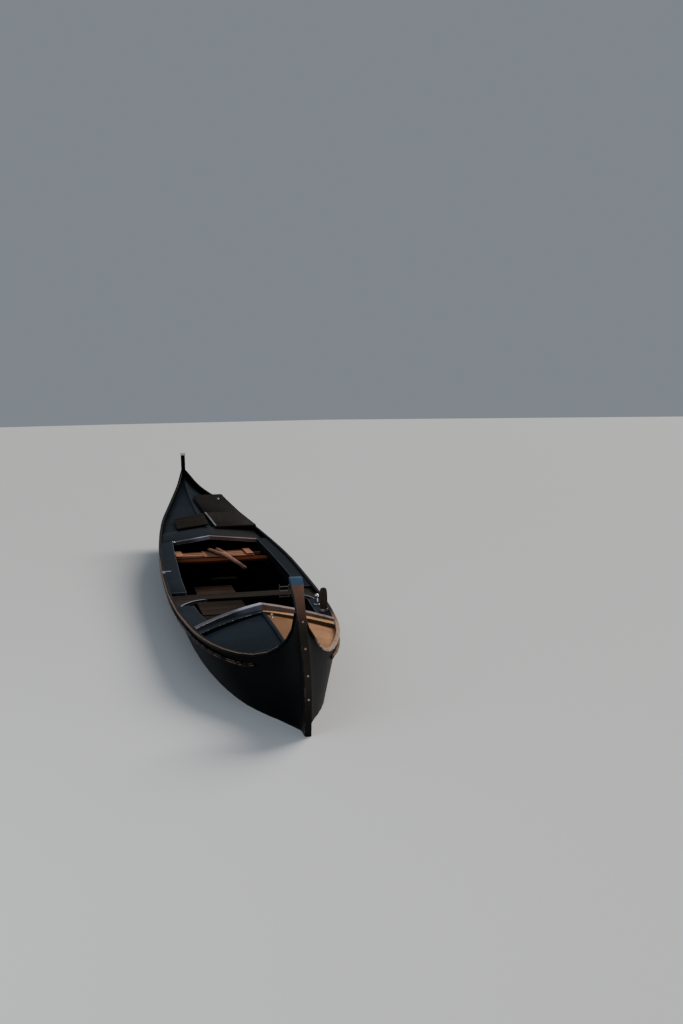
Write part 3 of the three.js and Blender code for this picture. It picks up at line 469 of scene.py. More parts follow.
def split_lit_paint(name, starboard, port, worn, wear, dust=0.3, upright=0.0, tip=0.0):
    """One paint in two colours on the two sides of the middle line, the split being painted light.

    upright adds painted shade to the faces that don't look up, and tip adds painted shade to the
    starboard end.
    """
    graph = Graph(name, Specular_IOR_Level=0.03)
    cloudy = graph.noise(3.1, 5.0, 0.55, seed=11.0)
    grain = graph.noise(20.0, 4.0, 0.6, seed=12.0, stretch=(5, 0.5, 5))
    speck = graph.noise(300.0, 2.0, 0.7, seed=13.0)
    chips = graph.noise(44.0, 6.0, 0.65, seed=14.0)
    # The two colours either side of the middle line are painted light on one paint.
    side = graph.axis("X").step(*MIDDLE_LINE)
    low = graph.mix(side, shade(starboard, 0.8), shade(port, 0.75))
    high = graph.mix(side, shade(starboard, 1.35), shade(port, 1.3))
    # Painted shade on the starboard end.
    arm = 1.0 - graph.axis("X").step(*ARM_SHADE_TO)
    dark = graph.mix(arm * tip, low, shade(starboard, 0.22))
    light = graph.mix(arm * tip, high, shade(starboard, 0.3))
    shown = graph.mix(cloudy.step(0.3, 0.7), dark, light)
    shown = graph.mix(grain.step(0.55, 0.8) * 0.4, shown, dark)
    # Painted shade on the faces that don't look up.
    shown = graph.mix((1.0 - graph.mark("top")) * upright, shown, shade(SIDE_SHADE_PAINT))
    shown = graph.mix(speck.step(0.55, 0.7) * dust, shown, shade(worn))
    bare = graph.mark("bevel") * chips.step(0.62 - wear * 0.4, 0.8 - wear * 0.4)
    shown = graph.mix(bare, shown, shade(worn))
    graph.feed("Base Color", shown)
    graph.feed("Roughness", cloudy * 0.2 + bare * 0.3 + 0.27)
    graph.bump(grain * 0.5 + speck * 0.3 - bare * 0.6, 0.001, 0.5)
    return graph.material


def wood(
    name,
    light,
    dark,
    along="X",
    worn=None,
    wear=0.3,
    rough=0.6,
    pitch=0.0,
    shade_below=None,
    upright=1.0,
):
    """Boards with their grain along one axis, rubbed to a worn colour along their edges.

    pitch is the width of each board across the grain. Under the height given next, painted shade
    darkens the wood, and upright is the share of its colour that a face keeps, as painted shade,
    if it doesn't look up.
    """
    graph = Graph(name, Specular_IOR_Level=0.03)
    rings = graph.noise(3.0, 4.0, 0.6, seed=21.0, stretch=RINGS[along])
    fibre = graph.noise(5.0, 4.0, 0.65, seed=22.0, stretch=FIBRE[along])
    stain = graph.noise(4.2, 5.0, 0.6, seed=23.0)
    share = rings.step(0.34, 0.68) * 0.7 + fibre.step(0.35, 0.75) * 0.3
    shown = graph.mix(share, shade(dark), shade(light))
    shown = graph.mix(stain.step(0.55, 0.78) * 0.55, shown, shade(dark, 0.45))
    if pitch:
        across = "Y" if along == "X" else "X"
        board = (graph.axis(across) * (1.0 / pitch)).math("FLOOR")
        tone = graph.node("ShaderNodeTexWhiteNoise", {"noise_dimensions": "1D"}, {"W": board})
        shown = graph.mix(tone * 0.45, shown, shade(dark, 0.9))
    if worn:
        rubbed = graph.mark("bevel") * stain.step(0.6 - wear, 0.8 - wear)
        shown = graph.mix(rubbed, shown, shade(worn))
    # Painted shade below a height.
    if shade_below:
        level = graph.axis("Z") + (stain - 0.5) * 0.012
        under = 1.0 - level.step(shade_below - DARK_FADE, shade_below + DARK_FADE)
        shown = graph.mix(under, shown, shade(dark, 0.3))
    # Painted shade on the faces that don't look up.
    if upright < 1.0:
        side_shade = (1.0 - graph.mark("top")) * (1.0 - upright)
        shown = graph.mix(side_shade, shown, shade(SIDE_SHADE_WOOD))
    graph.feed("Base Color", shown)
    graph.feed("Roughness", fibre * 0.2 + (rough - 0.1))
    graph.bump(fibre * 0.7 + rings * 0.3, 0.0015, 0.6)
    return graph.material


def slat_wood(name, color):
    """Oiled seat slats: bright at both ends, grey where people sit."""
    graph = Graph(name, Specular_IOR_Level=0.04)
    rings = graph.noise(3.0, 4.0, 0.6, seed=61.0, stretch=RINGS["X"])
    fibre = graph.noise(5.0, 4.0, 0.65, seed=62.0, stretch=FIBRE["X"])
    share = rings.step(0.3, 0.65) * 0.6 + fibre.step(0.35, 0.7) * 0.4
    shown = graph.mix(share, shade(color, 0.45), shade(color))
    along = graph.axis("X") + (rings - 0.5) * 0.08
    start, end = SAT_ON
    past_start = along.step(start - SAT_FADE, start + SAT_FADE)
    sat = past_start * (1.0 - along.step(end - SAT_FADE, end + SAT_FADE))
    grey = graph.mix(fibre, shade(SAT_DARK), shade(SAT_LIGHT))
    shown = graph.mix(sat * 0.85, shown, grey)
    # Painted shade on the faces that don't look up.
    shown = graph.mix((1.0 - graph.mark("top")) * 0.8, shown, shade(SLAT_SIDE_SHADE))
    shown = graph.mix(graph.mark("bevel") * 0.35, shown, shade(color, 1.5))
    graph.feed("Base Color", shown)
    graph.feed("Roughness", fibre * 0.2 + 0.4)
    graph.bump(fibre * 0.7 + rings * 0.3, 0.0015, 0.6)
    return graph.material


def rest_wood(name, color):
    """The oar rest's wood, brighter at the fork and darker grey-brown towards its foot."""
    graph = Graph(name, Specular_IOR_Level=0.06)
    grain = graph.noise(6.0, 4.0, 0.65, seed=71.0, stretch=(14, 1.0, 14))
    spots = graph.noise(30.0, 4.0, 0.6, seed=72.0)
    shown = graph.mix(grain.step(0.35, 0.7), shade(color, 0.5), shade(color, 1.1))
    along = graph.axis("Y") + (spots - 0.5) * 0.06
    foot = 1.0 - along.step(*REST_FOOT_TO)
    foot_tone = graph.mix(spots, shade(color, 0.06), shade(color, 0.2))
    graph.feed("Base Color", graph.mix(foot * 0.85, shown, foot_tone))
    graph.feed("Roughness", grain * 0.2 + 0.35)
    graph.bump(grain * 0.7 + spots * 0.3, 0.001, 0.6)
    return graph.material


def metal(name, color, rust, amount, rough=0.35):
    """Old metal with rust or dirt in patches."""
    graph = Graph(name)
    patch = graph.noise(30.0, 6.0, 0.7, seed=31.0)
    fine = graph.noise(240.0, 3.0, 0.6, seed=32.0)
    rusty = patch.step(0.72 - amount * 0.5, 0.82 - amount * 0.4)
    shown = graph.mix(fine, shade(color, 0.8), shade(color, 1.15))
    graph.feed("Base Color", graph.mix(rusty, shown, shade(rust)))
    graph.feed("Metallic", 1.0 - rusty * 0.85)
    graph.feed("Roughness", rusty * 0.45 + fine * 0.12 + (rough - 0.06))
    graph.bump(rusty * 0.6 + fine * 0.4, 0.0008, 0.6)
    return graph.material


def strap_iron(name, high, middle, low):
    """The strap on the bow post: warm brown above, darker towards the bottom."""
    graph = Graph(name, Specular_IOR_Level=0.1)
    height = graph.axis("Z") - WATERLINE
    cloudy = graph.noise(9.0, 5.0, 0.6, seed=41.0, stretch=(1, 1, 0.25))
    fine = graph.noise(180.0, 3.0, 0.6, seed=42.0)
    level = height + (cloudy - 0.5) * 0.12
    shown = graph.mix(level.step(0.1, 0.45), shade(low), shade(middle))
    shown = graph.mix(level.step(0.7, 0.98), shown, shade(high))
    shown = graph.mix(cloudy.step(0.5, 0.8) * 0.5, shown, shade(middle, 0.5))
    graph.feed("Base Color", shown)
    graph.feed("Metallic", 0.3 - cloudy * 0.2)
    graph.feed("Roughness", cloudy * 0.3 + fine * 0.1 + 0.25)
    graph.bump(cloudy * 0.5 + fine * 0.5, 0.001, 0.6)
    return graph.material


# Meshes.


def all_solids():
    """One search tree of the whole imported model."""
    bm = bmesh.new()
    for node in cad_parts.values():
        bm.from_mesh(node.data)
    tree = BVHTree.FromBMesh(bm)
    bm.free()
    return tree


SOLIDS = all_solids()


def surface(start, direction=Vector((0, 0, -1))):
    """Where a line from a point first meets the model, and the way the surface faces."""
    spot, normal, _, _ = SOLIDS.ray_cast(start, direction)
    if spot is None:
        return None, direction
    return spot, normal if normal.dot(direction) < 0 else -normal


def on_deck(x, y):
    """The highest point of the model at a place to port and aft of the bow post's foot."""
    spot, _ = surface(place(x, y, ABOVE_ALL))
    if spot is None:
        raise ValueError(f"nothing to stand on {x} m to port and {y} m aft")
    return spot


def finish_piece(name, bm, material, stands_for=(), up_limit=LOOKS_UP):
    """Makes an object of a bmesh, gives it its finish, attaches it to the body, and hides the CAD
    nodes that it stands for.
    """
    marks = bm.faces.layers.float
    if marks.get("bevel") is None:
        marks.new("bevel")
    top = marks.new("top")
    for face in bm.faces:
        face.smooth = True
        face[top] = 1.0 if face.normal.z > up_limit else 0.0
    for edge in bm.edges:
        edge.smooth = len(edge.link_faces) != 2 or edge.calc_face_angle(0.0) < SHARP_ANGLE
    mesh = bpy.data.meshes.new(name)
    bm.to_mesh(mesh)
    bm.free()
    mesh.materials.append(material)
    piece = bpy.data.objects.new(name, mesh)
    bpy.context.scene.collection.objects.link(piece)
    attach(piece, BODY)
    if stands_for:
        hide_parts(*stands_for)
    return piece


def worked_copy(node, material, rounding=0.0, face_rule=None, up_limit=LOOKS_UP):
    """A merged copy of a CAD node with its long edges rounded.

    The rounded faces are marked bevel, and so are those that the rule picks.
    """
    bm = bmesh.new()
    bm.from_mesh(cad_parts[node].data)
    bmesh.ops.remove_doubles(bm, verts=bm.verts[:], dist=MERGE_DISTANCE)
    bmesh.ops.dissolve_limit(bm, angle_limit=FLAT_ANGLE, verts=bm.verts[:], edges=bm.edges[:])
    mark = bm.faces.layers.float.new("bevel")
    if rounding:
        for face in round_edges(bm, rounding):
            face[mark] = 1.0
    bm.normal_update()
    if face_rule:
        for face in filter(face_rule, bm.faces):
            face[mark] = 1.0
    finish_piece(node + "_worked", bm, material, [node], up_limit)


def round_edges(bm, rounding):
    """Rounds the long corners of a shape, and returns the faces that this made."""
    corners = [
        edge
        for edge in bm.edges
        if len(edge.link_faces) == 2
        and edge.calc_face_angle(0.0) > BEVEL_ANGLE
        and edge.calc_length() > LONG_EDGE * rounding
    ]
    made = bmesh.ops.bevel(
        bm,
        geom=corners,
        offset=rounding,
        offset_type="OFFSET",
        affect="EDGES",
        segments=2,
        profile=0.5,
        material=-1,
        clamp_overlap=False,
    )
    return made["faces"]


def outer_corner(outboard):
    """A rule for the faces along a gunwale's upper outer corner; outboard is 1 to port."""
    low, high = CORNER_HEIGHTS

    def rule(face):
        return low < face.normal.z < high and face.normal.x * outboard > CORNER_OUTBOARD

    return rule


def spin_profile(bm, profile, middle):
    """Turns a profile of radii and heights round an upright axis through a point."""
    points = [bm.verts.new(middle + Vector((radius, 0.0, z))) for radius, z in profile]
    edges = [bm.edges.new(pair) for pair in zip(points, points[1:])]
    bmesh.ops.spin(
        bm,
        geom=points + edges,
        cent=middle,
        axis=(0, 0, 1),
        dvec=(0, 0, 0),
        angle=math.tau,
        steps=TURNED_STEPS,
        use_merge=True,
        use_duplicate=False,
    )
    bmesh.ops.remove_doubles(bm, verts=bm.verts[:], dist=MERGE_DISTANCE)
    bmesh.ops.recalc_face_normals(bm, faces=bm.faces[:])


def turned(name, profile, middle, material, stands_for=()):
    """A piece turned from one profile."""
    bm = bmesh.new()
    spin_profile(bm, profile, middle)
    finish_piece(name, bm, material, stands_for)


def limb(bm, stations, sides=12):
    """Adds a rounded bar along stations of centre, half width and half height."""
    centres = [centre for centre, _, _ in stations]
    upright = Matrix.Rotation(math.radians(90), 4, "X")
    last = len(stations) - 1
    ring = None
    for i, (centre, wide, tall) in enumerate(stations):
        ahead = centres[min(i + 1, last)] - centres[max(i - 1, 0)]
        turn = Vector((0, 1, 0)).rotation_difference(ahead).to_matrix().to_4x4()
        size = Matrix.Diagonal((wide, 1.0, tall, 1.0))
        made = bmesh.ops.create_circle(
            bm,
            cap_ends=i in (0, last),
            segments=sides,
            radius=1.0,
            matrix=Matrix.Translation(centre) @ turn @ size @ upright,
        )
        around = dict.fromkeys(edge for vert in made["verts"] for edge in vert.link_edges)
        edges = [edge for edge in around if len(edge.link_faces) <= 1]
        if ring:
            bmesh.ops.bridge_loops(bm, edges=ring + edges)
        ring = edges
    bmesh.ops.recalc_face_normals(bm, faces=bm.faces[:])


def domes(name, spots, radius, height, material):
    """Small round heads, each at a point and looking along a direction."""
    bm = bmesh.new()
    squeeze = Matrix.Diagonal((1.0, 1.0, height / radius, 1.0))
    for point, direction in spots:
        turn = Vector((0, 0, 1)).rotation_difference(direction).to_matrix().to_4x4()
        matrix = Matrix.Translation(point) @ turn @ squeeze
        bmesh.ops.create_icosphere(bm, subdivisions=2, radius=radius, matrix=matrix)
    finish_piece(name, bm, material)


def nails(node):
    """Nail heads in rows on a board's upper face, where nothing lies over it."""
    columns, rows, inset = NAILS[node]
    low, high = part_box(node)
    heads = []
    for i in range(columns):
        for j in range(rows):
            x = low.x + inset + (high.x - low.x - 2 * inset) * i / (columns - 1)
            y = low.y + inset + (high.y - low.y - 2 * inset) * j / (rows - 1)
            spot, normal = surface(Vector((x, y, ABOVE_ALL)))
            if spot and low.z < spot.z < high.z + NAIL_HEIGHT and normal.z > TAKES_NAILS:
                heads.append((spot, normal))
    iron = metal(node + "_nail_iron", NAIL_IRON, NAIL_RUST, amount=0.5, rough=0.5)
    domes(node + "_nails", heads, NAIL_RADIUS, NAIL_HEIGHT, iron)


# Settings that a user would change.


def color_setting(name, description, default):
    """A colour, as linear red, green and blue."""
    return bpy.props.FloatVectorProperty(
        name=name,
        description=description,
        default=default,
        min=0.0,
        max=1.0,
        size=3,
        subtype="COLOR",
    )


def length_setting(name, description, default):
    """A length in metres."""
    return bpy.props.FloatProperty(
        name=name,
        description=description,
        default=default,
        min=0.0,
        unit="LENGTH",
        subtype="DISTANCE",
    )


def share_setting(name, description, default):
    """A share from 0 to 1."""
    return bpy.props.FloatProperty(
        name=name,
        description=description,
        default=default,
        min=0.0,
        max=1.0,
        subtype="FACTOR",
    )


class GondolaPaint(bpy.types.PropertyGroup):
    hull: color_setting("Hull black", "Paint of the sides and bottom", (0.0035, 0.004, 0.0045))
    # The deck paint is black with a blue tint that is painted sky reflection.
    deck: color_setting("Deck blue-black", "Paint of the decks", (0.0085, 0.016, 0.024))
    side_deck: color_setting("Side deck", "Paint of the side decks", (0.014, 0.0205, 0.028))
    # Tan is painted warm light: the fore deck's port slope has the same black paint as the other
    # decks.
    warm_lit_deck: color_setting("Faded deck", "The port slope of the fore deck", (0.33, 0.165, 0.085))
    rubbed: color_setting("Rubbed edge", "Where edges are rubbed through", (0.3, 0.185, 0.14))
    # The coamings' tops are one paint: lilac on starboard and pink on port are painted light.
    lilac: color_setting("Lilac grey", "Top of the coamings, starboard", (0.36, 0.37, 0.46))
    blush: color_setting("Pale pink", "Top of the coamings, port", (0.27, 0.19, 0.175))


class GondolaWood(bpy.types.PropertyGroup):
    board: color_setting("Weathered board", "Thwart, floor and hatch", (0.034, 0.0235, 0.018))
    rower: color_setting("Rower's boards", "Boards the rower stands on", (0.0235, 0.018, 0.0155))
    slat: color_setting("Oiled slats", "Slats and blocks of the seat", (0.56, 0.25, 0.15))
    varnish: color_setting("Orange varnish", "Bearers under the seat", (0.5, 0.155, 0.07))
    rest: color_setting("Oar rest", "Wood of the forked oar rest", (0.52, 0.26, 0.175))
    rounding: length_setting("Edge rounding", "Radius of the boards' edges", 0.003)


class GondolaMetal(bpy.types.PropertyGroup):
    strap: color_setting("Strap", "Upper part of the strap on the bow post", (0.2, 0.1, 0.068))
    bright: color_setting("Bright metal", "Cleat, knob and small fittings", (0.72, 0.72, 0.74))
    rust: color_setting("Rust", "Rust on iron pieces", (0.09, 0.035, 0.018))
    bolt: length_setting("Bolt radius", "Radius of the bolt heads on the strap", 0.009)


class GondolaStage(bpy.types.PropertyGroup):
    floor: color_setting("Floor", "Colour of the plain floor", (0.74, 0.75, 0.76))
    reach: length_setting("Floor reach", "Distance from the boat to the floor's edge", 120.0)
    sky: share_setting("Soft light", "Strength of the light from all round", 0.27)


# The pieces.


class GONDOLA_OT_hull(bpy.types.Operator):
    """Make the bottom and the two sides"""

    bl_idname = "gondola.hull"
    bl_label = "Bottom and sides"

    def execute(self, context):
        paints = context.scene.gondola_paint
        look = {"wear": 0.1, "rough": 0.35, "dust": 0.0, "shine": 0.01, "fouled": True}
        black = paint("hull_paint", paints.hull, paints.rubbed, **look)
        for node in ("bottom", "side_starboard", "side_port"):
            worked_copy(node, black, up_limit=0.0)
        return {"FINISHED"}


class GONDOLA_OT_rails(bpy.types.Operator):
    """Make the gunwale caps and the rubbing rails"""

    bl_idname = "gondola.rails"
    bl_label = "Gunwales and rubbing rails"

    def execute(self, context):
        paints = context.scene.gondola_paint
        hull = paints.hull
        rubbed = paints.rubbed
        # The streaks on the port bow are painted warm light.
        look = {"wear": 0.5, "rough": 0.35, "shine": 0.03, "warm_streaks": RAIL_WARM_STREAKS}
        rail = paint("rail_paint", hull, shade(rubbed, 0.6), **look)
        look |= {"wear": 0.8, "warm_streaks": CAP_WARM_STREAKS}
        caps = {
            "starboard": paint("gunwale_paint", hull, rubbed, fading=0.75, **look),
            "port": paint("port_gunwale_paint", hull, rubbed, fading=0.25, **look),
        }
        for side, outboard in (("starboard", -1), ("port", 1)):
            corner = outer_corner(outboard)
            worked_copy("gunwale_" + side, caps[side], face_rule=corner)
            worked_copy("rub_rail_" + side, rail, RUB_RAIL_ROUNDING)
        return {"FINISHED"}


class GONDOLA_OT_posts(bpy.types.Operator):
    """Make the end posts, the stern cap, and the strap on the bow post with its bolt heads"""

    bl_idname = "gondola.posts"
    bl_label = "End posts"

    def execute(self, context):
        paints = context.scene.gondola_paint
        metals = context.scene.gondola_metal
        # The posts' tops get a painted sky reflection.
        black = paint("post_paint", paints.hull, paints.rubbed, wear=0.25, sky_top_reflection=POST_SKY_REFLECTION)
        strap = strap_iron("strap_finish", metals.strap, STRAP_MIDDLE, STRAP_LOW)
        dull = metal("bolt_metal", BOLT_METAL, metals.rust, amount=0.3)
        cap = metal("cap_metal", CAP_METAL, metals.rust, amount=0.15, rough=0.3)
        worked_copy("bow_post", black, POST_ROUNDING, up_limit=0.5)
        worked_copy("bow_strap", strap, STRAP_ROUNDING)
        worked_copy("stern_post", black, POST_ROUNDING)
        worked_copy("stern_cap", cap, POST_ROUNDING)
        ahead = [place(0.0, AHEAD_OF_BOW, height) for height in STRAP_BOLTS]
        bolts = [surface(spot, Vector((0, 1, 0))) for spot in ahead]
        domes("strap_bolts", bolts, metals.bolt, metals.bolt * BOLT_FLATNESS, dull)
        return {"FINISHED"}


class GONDOLA_OT_decks(bpy.types.Operator):
    """Make the fore and after decks with their ridge battens"""

    bl_idname = "gondola.decks"
    bl_label = "Decks"

    def execute(self, context):
        paints = context.scene.gondola_paint
        rounding = context.scene.gondola_wood.rounding
        # The deck paint is black with a blue tint of painted sky reflection.
        blue = paint("deck_paint", paints.deck, shade(paints.rubbed, 0.6), wear=0.2, rough=0.38)
        # The fore deck's port slope is black deck paint with warm light painted in as tan, and
        # painted shade near the middle line.
        look = {"wear": 0.25, "rough": 0.5, "dust": 0.5, "shaded_middle": shade(paints.warm_lit_deck, 0.6)}
        tan = paint("warm_lit_deck_paint", shade(paints.warm_lit_deck, 1.25), WARM_LIT_CHIPS, **look)
        worked_copy("fore_deck_starboard", blue)
        worked_copy("fore_deck_port", tan)
        worked_copy("aft_deck_starboard", blue)
        worked_copy("aft_deck_port", blue)
        worked_copy("fore_deck_ridge", blue, rounding)
        worked_copy("aft_deck_ridge", blue, rounding)
        return {"FINISHED"}


class GONDOLA_OT_side_decks(bpy.types.Operator):
    """Make the side decks with the fascias under their inner edges"""

    bl_idname = "gondola.side_decks"
    bl_label = "Side decks"

    def execute(self, context):
        look = {"wear": 0.7, "rough": 0.4, "dust": 0.12}
        # The port side decks are a darker copy of the same paint: painted shade.
        for side, factor in (("starboard", 0.9), ("port", 0.6)):
            color = shade(context.scene.gondola_paint.side_deck, factor)
            grey = paint("side_deck_paint_" + side, color, SIDE_DECK_EDGE, **look)
            for end in ("fore", "aft"):
                worked_copy(f"side_deck_{end}_{side}", grey, SIDE_DECK_ROUNDING)
        return {"FINISHED"}


class GONDOLA_OT_coamings(bpy.types.Operator):
    """Make the coamings and the covering boards at both ends of the cockpit"""

    bl_idname = "gondola.coamings"
    bl_label = "Coamings and covering boards"

    def execute(self, context):
        paints = context.scene.gondola_paint
        rounding = context.scene.gondola_wood.rounding
        # Each is one paint split at the middle line into two colours of painted light, with painted
        # shade on faces that don't look up and on the coamings' starboard end.
        look = {"wear": 0.6, "upright": 0.6, "tip": 1.0}
        top = split_lit_paint("coaming_paint", paints.lilac, paints.blush, COAMING_CHIPS, **look)
        grey = paints.side_deck
        look = {"wear": 0.4, "dust": 0.1, "upright": 0.9}
        cover = split_lit_paint("fore_cover_paint", grey, COVER_WARM_LIGHT, COAMING_CHIPS, **look)
        blue = shade(grey, 0.75)
        look = {"wear": 0.4, "dust": 0.15}
        after = split_lit_paint("aft_cover_paint", blue, COVER_DARK, paints.lilac, **look)
        worked_copy("fore_coaming", top, rounding)
        worked_copy("fore_covering_board", cover, rounding)
        worked_copy("aft_coaming", top, rounding)
        worked_copy("aft_covering_board", after, rounding)
        return {"FINISHED"}


class GONDOLA_OT_frames(bpy.types.Operator):
    """Make the ribs, stringers, floor timbers and knees"""

    bl_idname = "gondola.frames"
    bl_label = "Frames, timbers and knees"

    def execute(self, context):
        paints = context.scene.gondola_paint
        dark = paint("frame_paint", FRAME_PAINT, paints.rubbed, wear=0.3, rough=0.5)
        knee = wood("knee_wood", *KNEE_WOOD, worn=paints.lilac, wear=0.5)
        for node in ("side_frames_starboard", "side_frames_port", "floor_timbers"):
            worked_copy(node, dark)
        for node in ("thwart_knee_starboard", "thwart_knee_port"):
            worked_copy(node, knee, KNEE_ROUNDING)
        return {"FINISHED"}


class GONDOLA_OT_floorboards(bpy.types.Operator):
    """Make the floorboards with their nails, and the loose bar on the floor"""

    bl_idname = "gondola.floorboards"
    bl_label = "Floorboards"

    def execute(self, context):
        woods = context.scene.gondola_wood
        light = shade(woods.board, 0.85)
        dark = shade(woods.board, 0.35)
        edge = shade(woods.board, 2.2)
        boards = {
            "floorboards_fore": wood("floor_wood", light, dark, worn=edge, pitch=0.25),
            # The middle and stern floors are lighter than the board wood: painted light.
            "floorboards_middle": wood("main_floor_wood", *LIT_MAIN_FLOOR_WOOD, pitch=0.25),
            "floorboards_aft": wood("stern_floor_wood", *LIT_STERN_FLOOR_WOOD, worn=edge),
        }
        for node, finish in boards.items():
            worked_copy(node, finish, woods.rounding)
        pale = wood("floor_bar_wood", *BAR_WOOD, worn=BAR_EDGE, wear=0.4)
        worked_copy("floor_bar", pale, HEAVY_BOARD_ROUNDING)
        for node in boards:
            nails(node)
        return {"FINISHED"}


class GONDOLA_OT_thwart(bpy.types.Operator):
    """Make the thwart and the nails at its ends"""

    bl_idname = "gondola.thwart"
    bl_label = "Thwart"

    def execute(self, context):
        color = context.scene.gondola_wood.board
        edge = shade(color, 2.4)
        # Its faces that don't look up keep 0.3 of their colour: painted shade.
        board = wood("thwart_wood", color, shade(color, 0.3), worn=edge, upright=0.3)
        worked_copy("thwart", board, HEAVY_BOARD_ROUNDING)
        nails("thwart")
        return {"FINISHED"}


class GONDOLA_OT_seat(bpy.types.Operator):
    """Make the slatted seat with its nails, and its bearers"""

    bl_idname = "gondola.seat"
    bl_label = "Slatted seat"

    def execute(self, context):
        woods = context.scene.gondola_wood
        slats = slat_wood("slat_wood", woods.slat)
        # The bearers are darkened below a height with painted shade.
        look = {"worn": VARNISH_EDGE, "wear": 0.5, "rough": 0.35, "shade_below": BEARER_SHADE_BELOW}
        orange = wood("bearer_varnish", woods.varnish, shade(woods.varnish, 0.4), **look)
        worked_copy("seat_slats", slats, woods.rounding)
        worked_copy("seat_front_board", orange, woods.rounding)
        worked_copy("seat_rear_bearer", orange, woods.rounding)
        nails("seat_slats")
        return {"FINISHED"}


class GONDOLA_OT_rower_boards(bpy.types.Operator):
    """Make the boards that the rower stands on, with their nails, batten and edge strip"""

    bl_idname = "gondola.rower_boards"
    bl_label = "Rower's boards"

    def execute(self, context):
        woods = context.scene.gondola_wood
        color = woods.rower
        look = {"along": "Y", "worn": shade(color, 2.4), "wear": 0.15, "pitch": 0.12}
        # The after boards are a darker copy of the same wood: painted shade.
        fore = wood("rower_wood_fore", shade(color, 1.2), shade(color, 0.5), **look)
        aft = wood("rower_wood_aft_shaded", shade(color, 0.6), shade(color, 0.3), **look)
        pale = wood("batten_wood", *BATTEN_WOOD, along="Y")
        worked_copy("rower_board_fore", fore, woods.rounding)
        worked_copy("rower_board_aft", aft, woods.rounding)
        worked_copy("rower_board_batten", pale, THIN_ROUNDING)
        nails("rower_board_fore")
        nails("rower_board_aft")
        bm = bmesh.new()
        limb(bm, [(on_deck(*end) - STRIP_SUNK, *STRIP_HALF) for end in STRIP_ENDS])
        finish_piece("rower_board_edge_strip", bm, pale)
        return {"FINISHED"}


class GONDOLA_OT_hatch(bpy.types.Operator):
    """Make the planked hatch cover on the after deck, and its nails"""

    bl_idname = "gondola.hatch"
    bl_label = "Hatch cover"

    def execute(self, context):
        woods = context.scene.gondola_wood
        color = woods.board
        # Its faces that don't look up keep 0.3 of their colour: painted shade.
        look = {"worn": shade(color, 2.0), "pitch": 0.2, "upright": 0.3}
        board = wood("hatch_wood", shade(color, 0.9), shade(color, 0.3), **look)
        worked_copy("aft_hatch", board, woods.rounding)
        nails("aft_hatch")
        return {"FINISHED"}


class GONDOLA_OT_oar_rest(bpy.types.Operator):
    """Make the forked oar rest that lies on the seat"""

    bl_idname = "gondola.oar_rest"
    bl_label = "Oar rest"

    def execute(self, context):
        worn = rest_wood("rest_wood", context.scene.gondola_wood.rest)
        bm = bmesh.new()
        shank = [
            (place(x, y, REST_LEVEL + z), wide, tall) for (x, y, z), wide, tall in REST_SHANK
        ]
        limb(bm, shank)
        for side in (-1, 1):
            prong = [
                (place(x + side * apart, y, REST_LEVEL), wide, tall)
                for x, y, apart, wide, tall in REST_PRONG
            ]
            limb(bm, prong)
        piece = finish_piece("oar_rest", bm, worn, ["forcola"])
        smooth = piece.modifiers.new("Smooth", "SUBSURF")
        smooth.levels = 1
        smooth.render_levels = 1
        return {"FINISHED"}


class GONDOLA_OT_fittings(bpy.types.Operator):
    """Make the mooring post, cleat, bracket, deck fitting and small fittings"""

    bl_idname = "gondola.fittings"
    bl_label = "Fittings"

    def execute(self, context):
        metals = context.scene.gondola_metal
        iron = metal("bracket_iron", BRACKET_IRON, metals.rust, amount=0.45, rough=0.4)
        bright = metal("fitting_metal", metals.bright, metals.rust, amount=0.08, rough=0.2)
        mooring_post(iron)
        small_fittings(bright)
        worked_copy("cleat_starboard", bright)
        worked_copy("iron_bracket", iron, THIN_ROUNDING)
        worked_copy("deck_fitting_port", bright, FITTING_ROUNDING)
        return {"FINISHED"}


def mooring_post(iron):
    """The turned mooring post, and the iron collar round its foot."""
    low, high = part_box("mooring_post")
    middle = Vector(((low.x + high.x) / 2, (low.y + high.y) / 2, low.z))
    tall = high.z - low.z
    radius = (high.x - low.x) / 2
    oak = wood("mooring_wood", *MOORING_WOOD, along="Z")
    post = [(radius * wide, tall * height) for wide, height in MOORING_POST]
    collar = [(radius * wide, height) for wide, height in COLLAR]
    turned("mooring_post_turned", post, middle, oak, ["mooring_post"])
    turned("mooring_post_collar", collar, middle, iron)


def small_fittings(bright):
    """A knob on the fore deck, a plate on the side deck, and an eye on the rower's boards."""
    turned("deck_knob", KNOB, on_deck(*KNOB_PLACE), bright)
    turned("side_deck_plate", PLATE, on_deck(*PLATE_PLACE), bright)
    foot = on_deck(*EYE_PLACE)
    arch = []
    for degrees in range(0, 181, EYE_TURN):
        turn = math.radians(degrees)
        lift = Vector((EYE_HALF * math.cos(turn), 0.0, EYE_HEIGHT * math.sin(turn)))
        arch.append((foot + lift, EYE_BAR, EYE_BAR))
    bm = bmesh.new()
    spin_profile(bm, PLATE, foot)
    limb(bm, arch, sides=8)
    finish_piece("board_eye_plate", bm, bright)


# The stage.


class GONDOLA_OT_stage(bpy.types.Operator):
    """Make the floor at the waterline, the lights and the camera"""

    bl_idname = "gondola.stage"
    bl_label = "Stage"

    def execute(self, context):
        stage = context.scene.gondola_stage
        floor_at_waterline(stage.floor, stage.reach)
        soft_light(stage.sky)
        camera()
        return {"FINISHED"}


def cut_level(bm, height, direction, **options):
    """Cuts a mesh at a height, and clears what lies past the cut in a direction."""
    bmesh.ops.bisect_plane(
        bm,
        geom=bm.verts[:] + bm.edges[:] + bm.faces[:],
        plane_co=(0, 0, height),
        plane_no=(0, 0, direction),
        clear_outer=True,
        **options,
    )


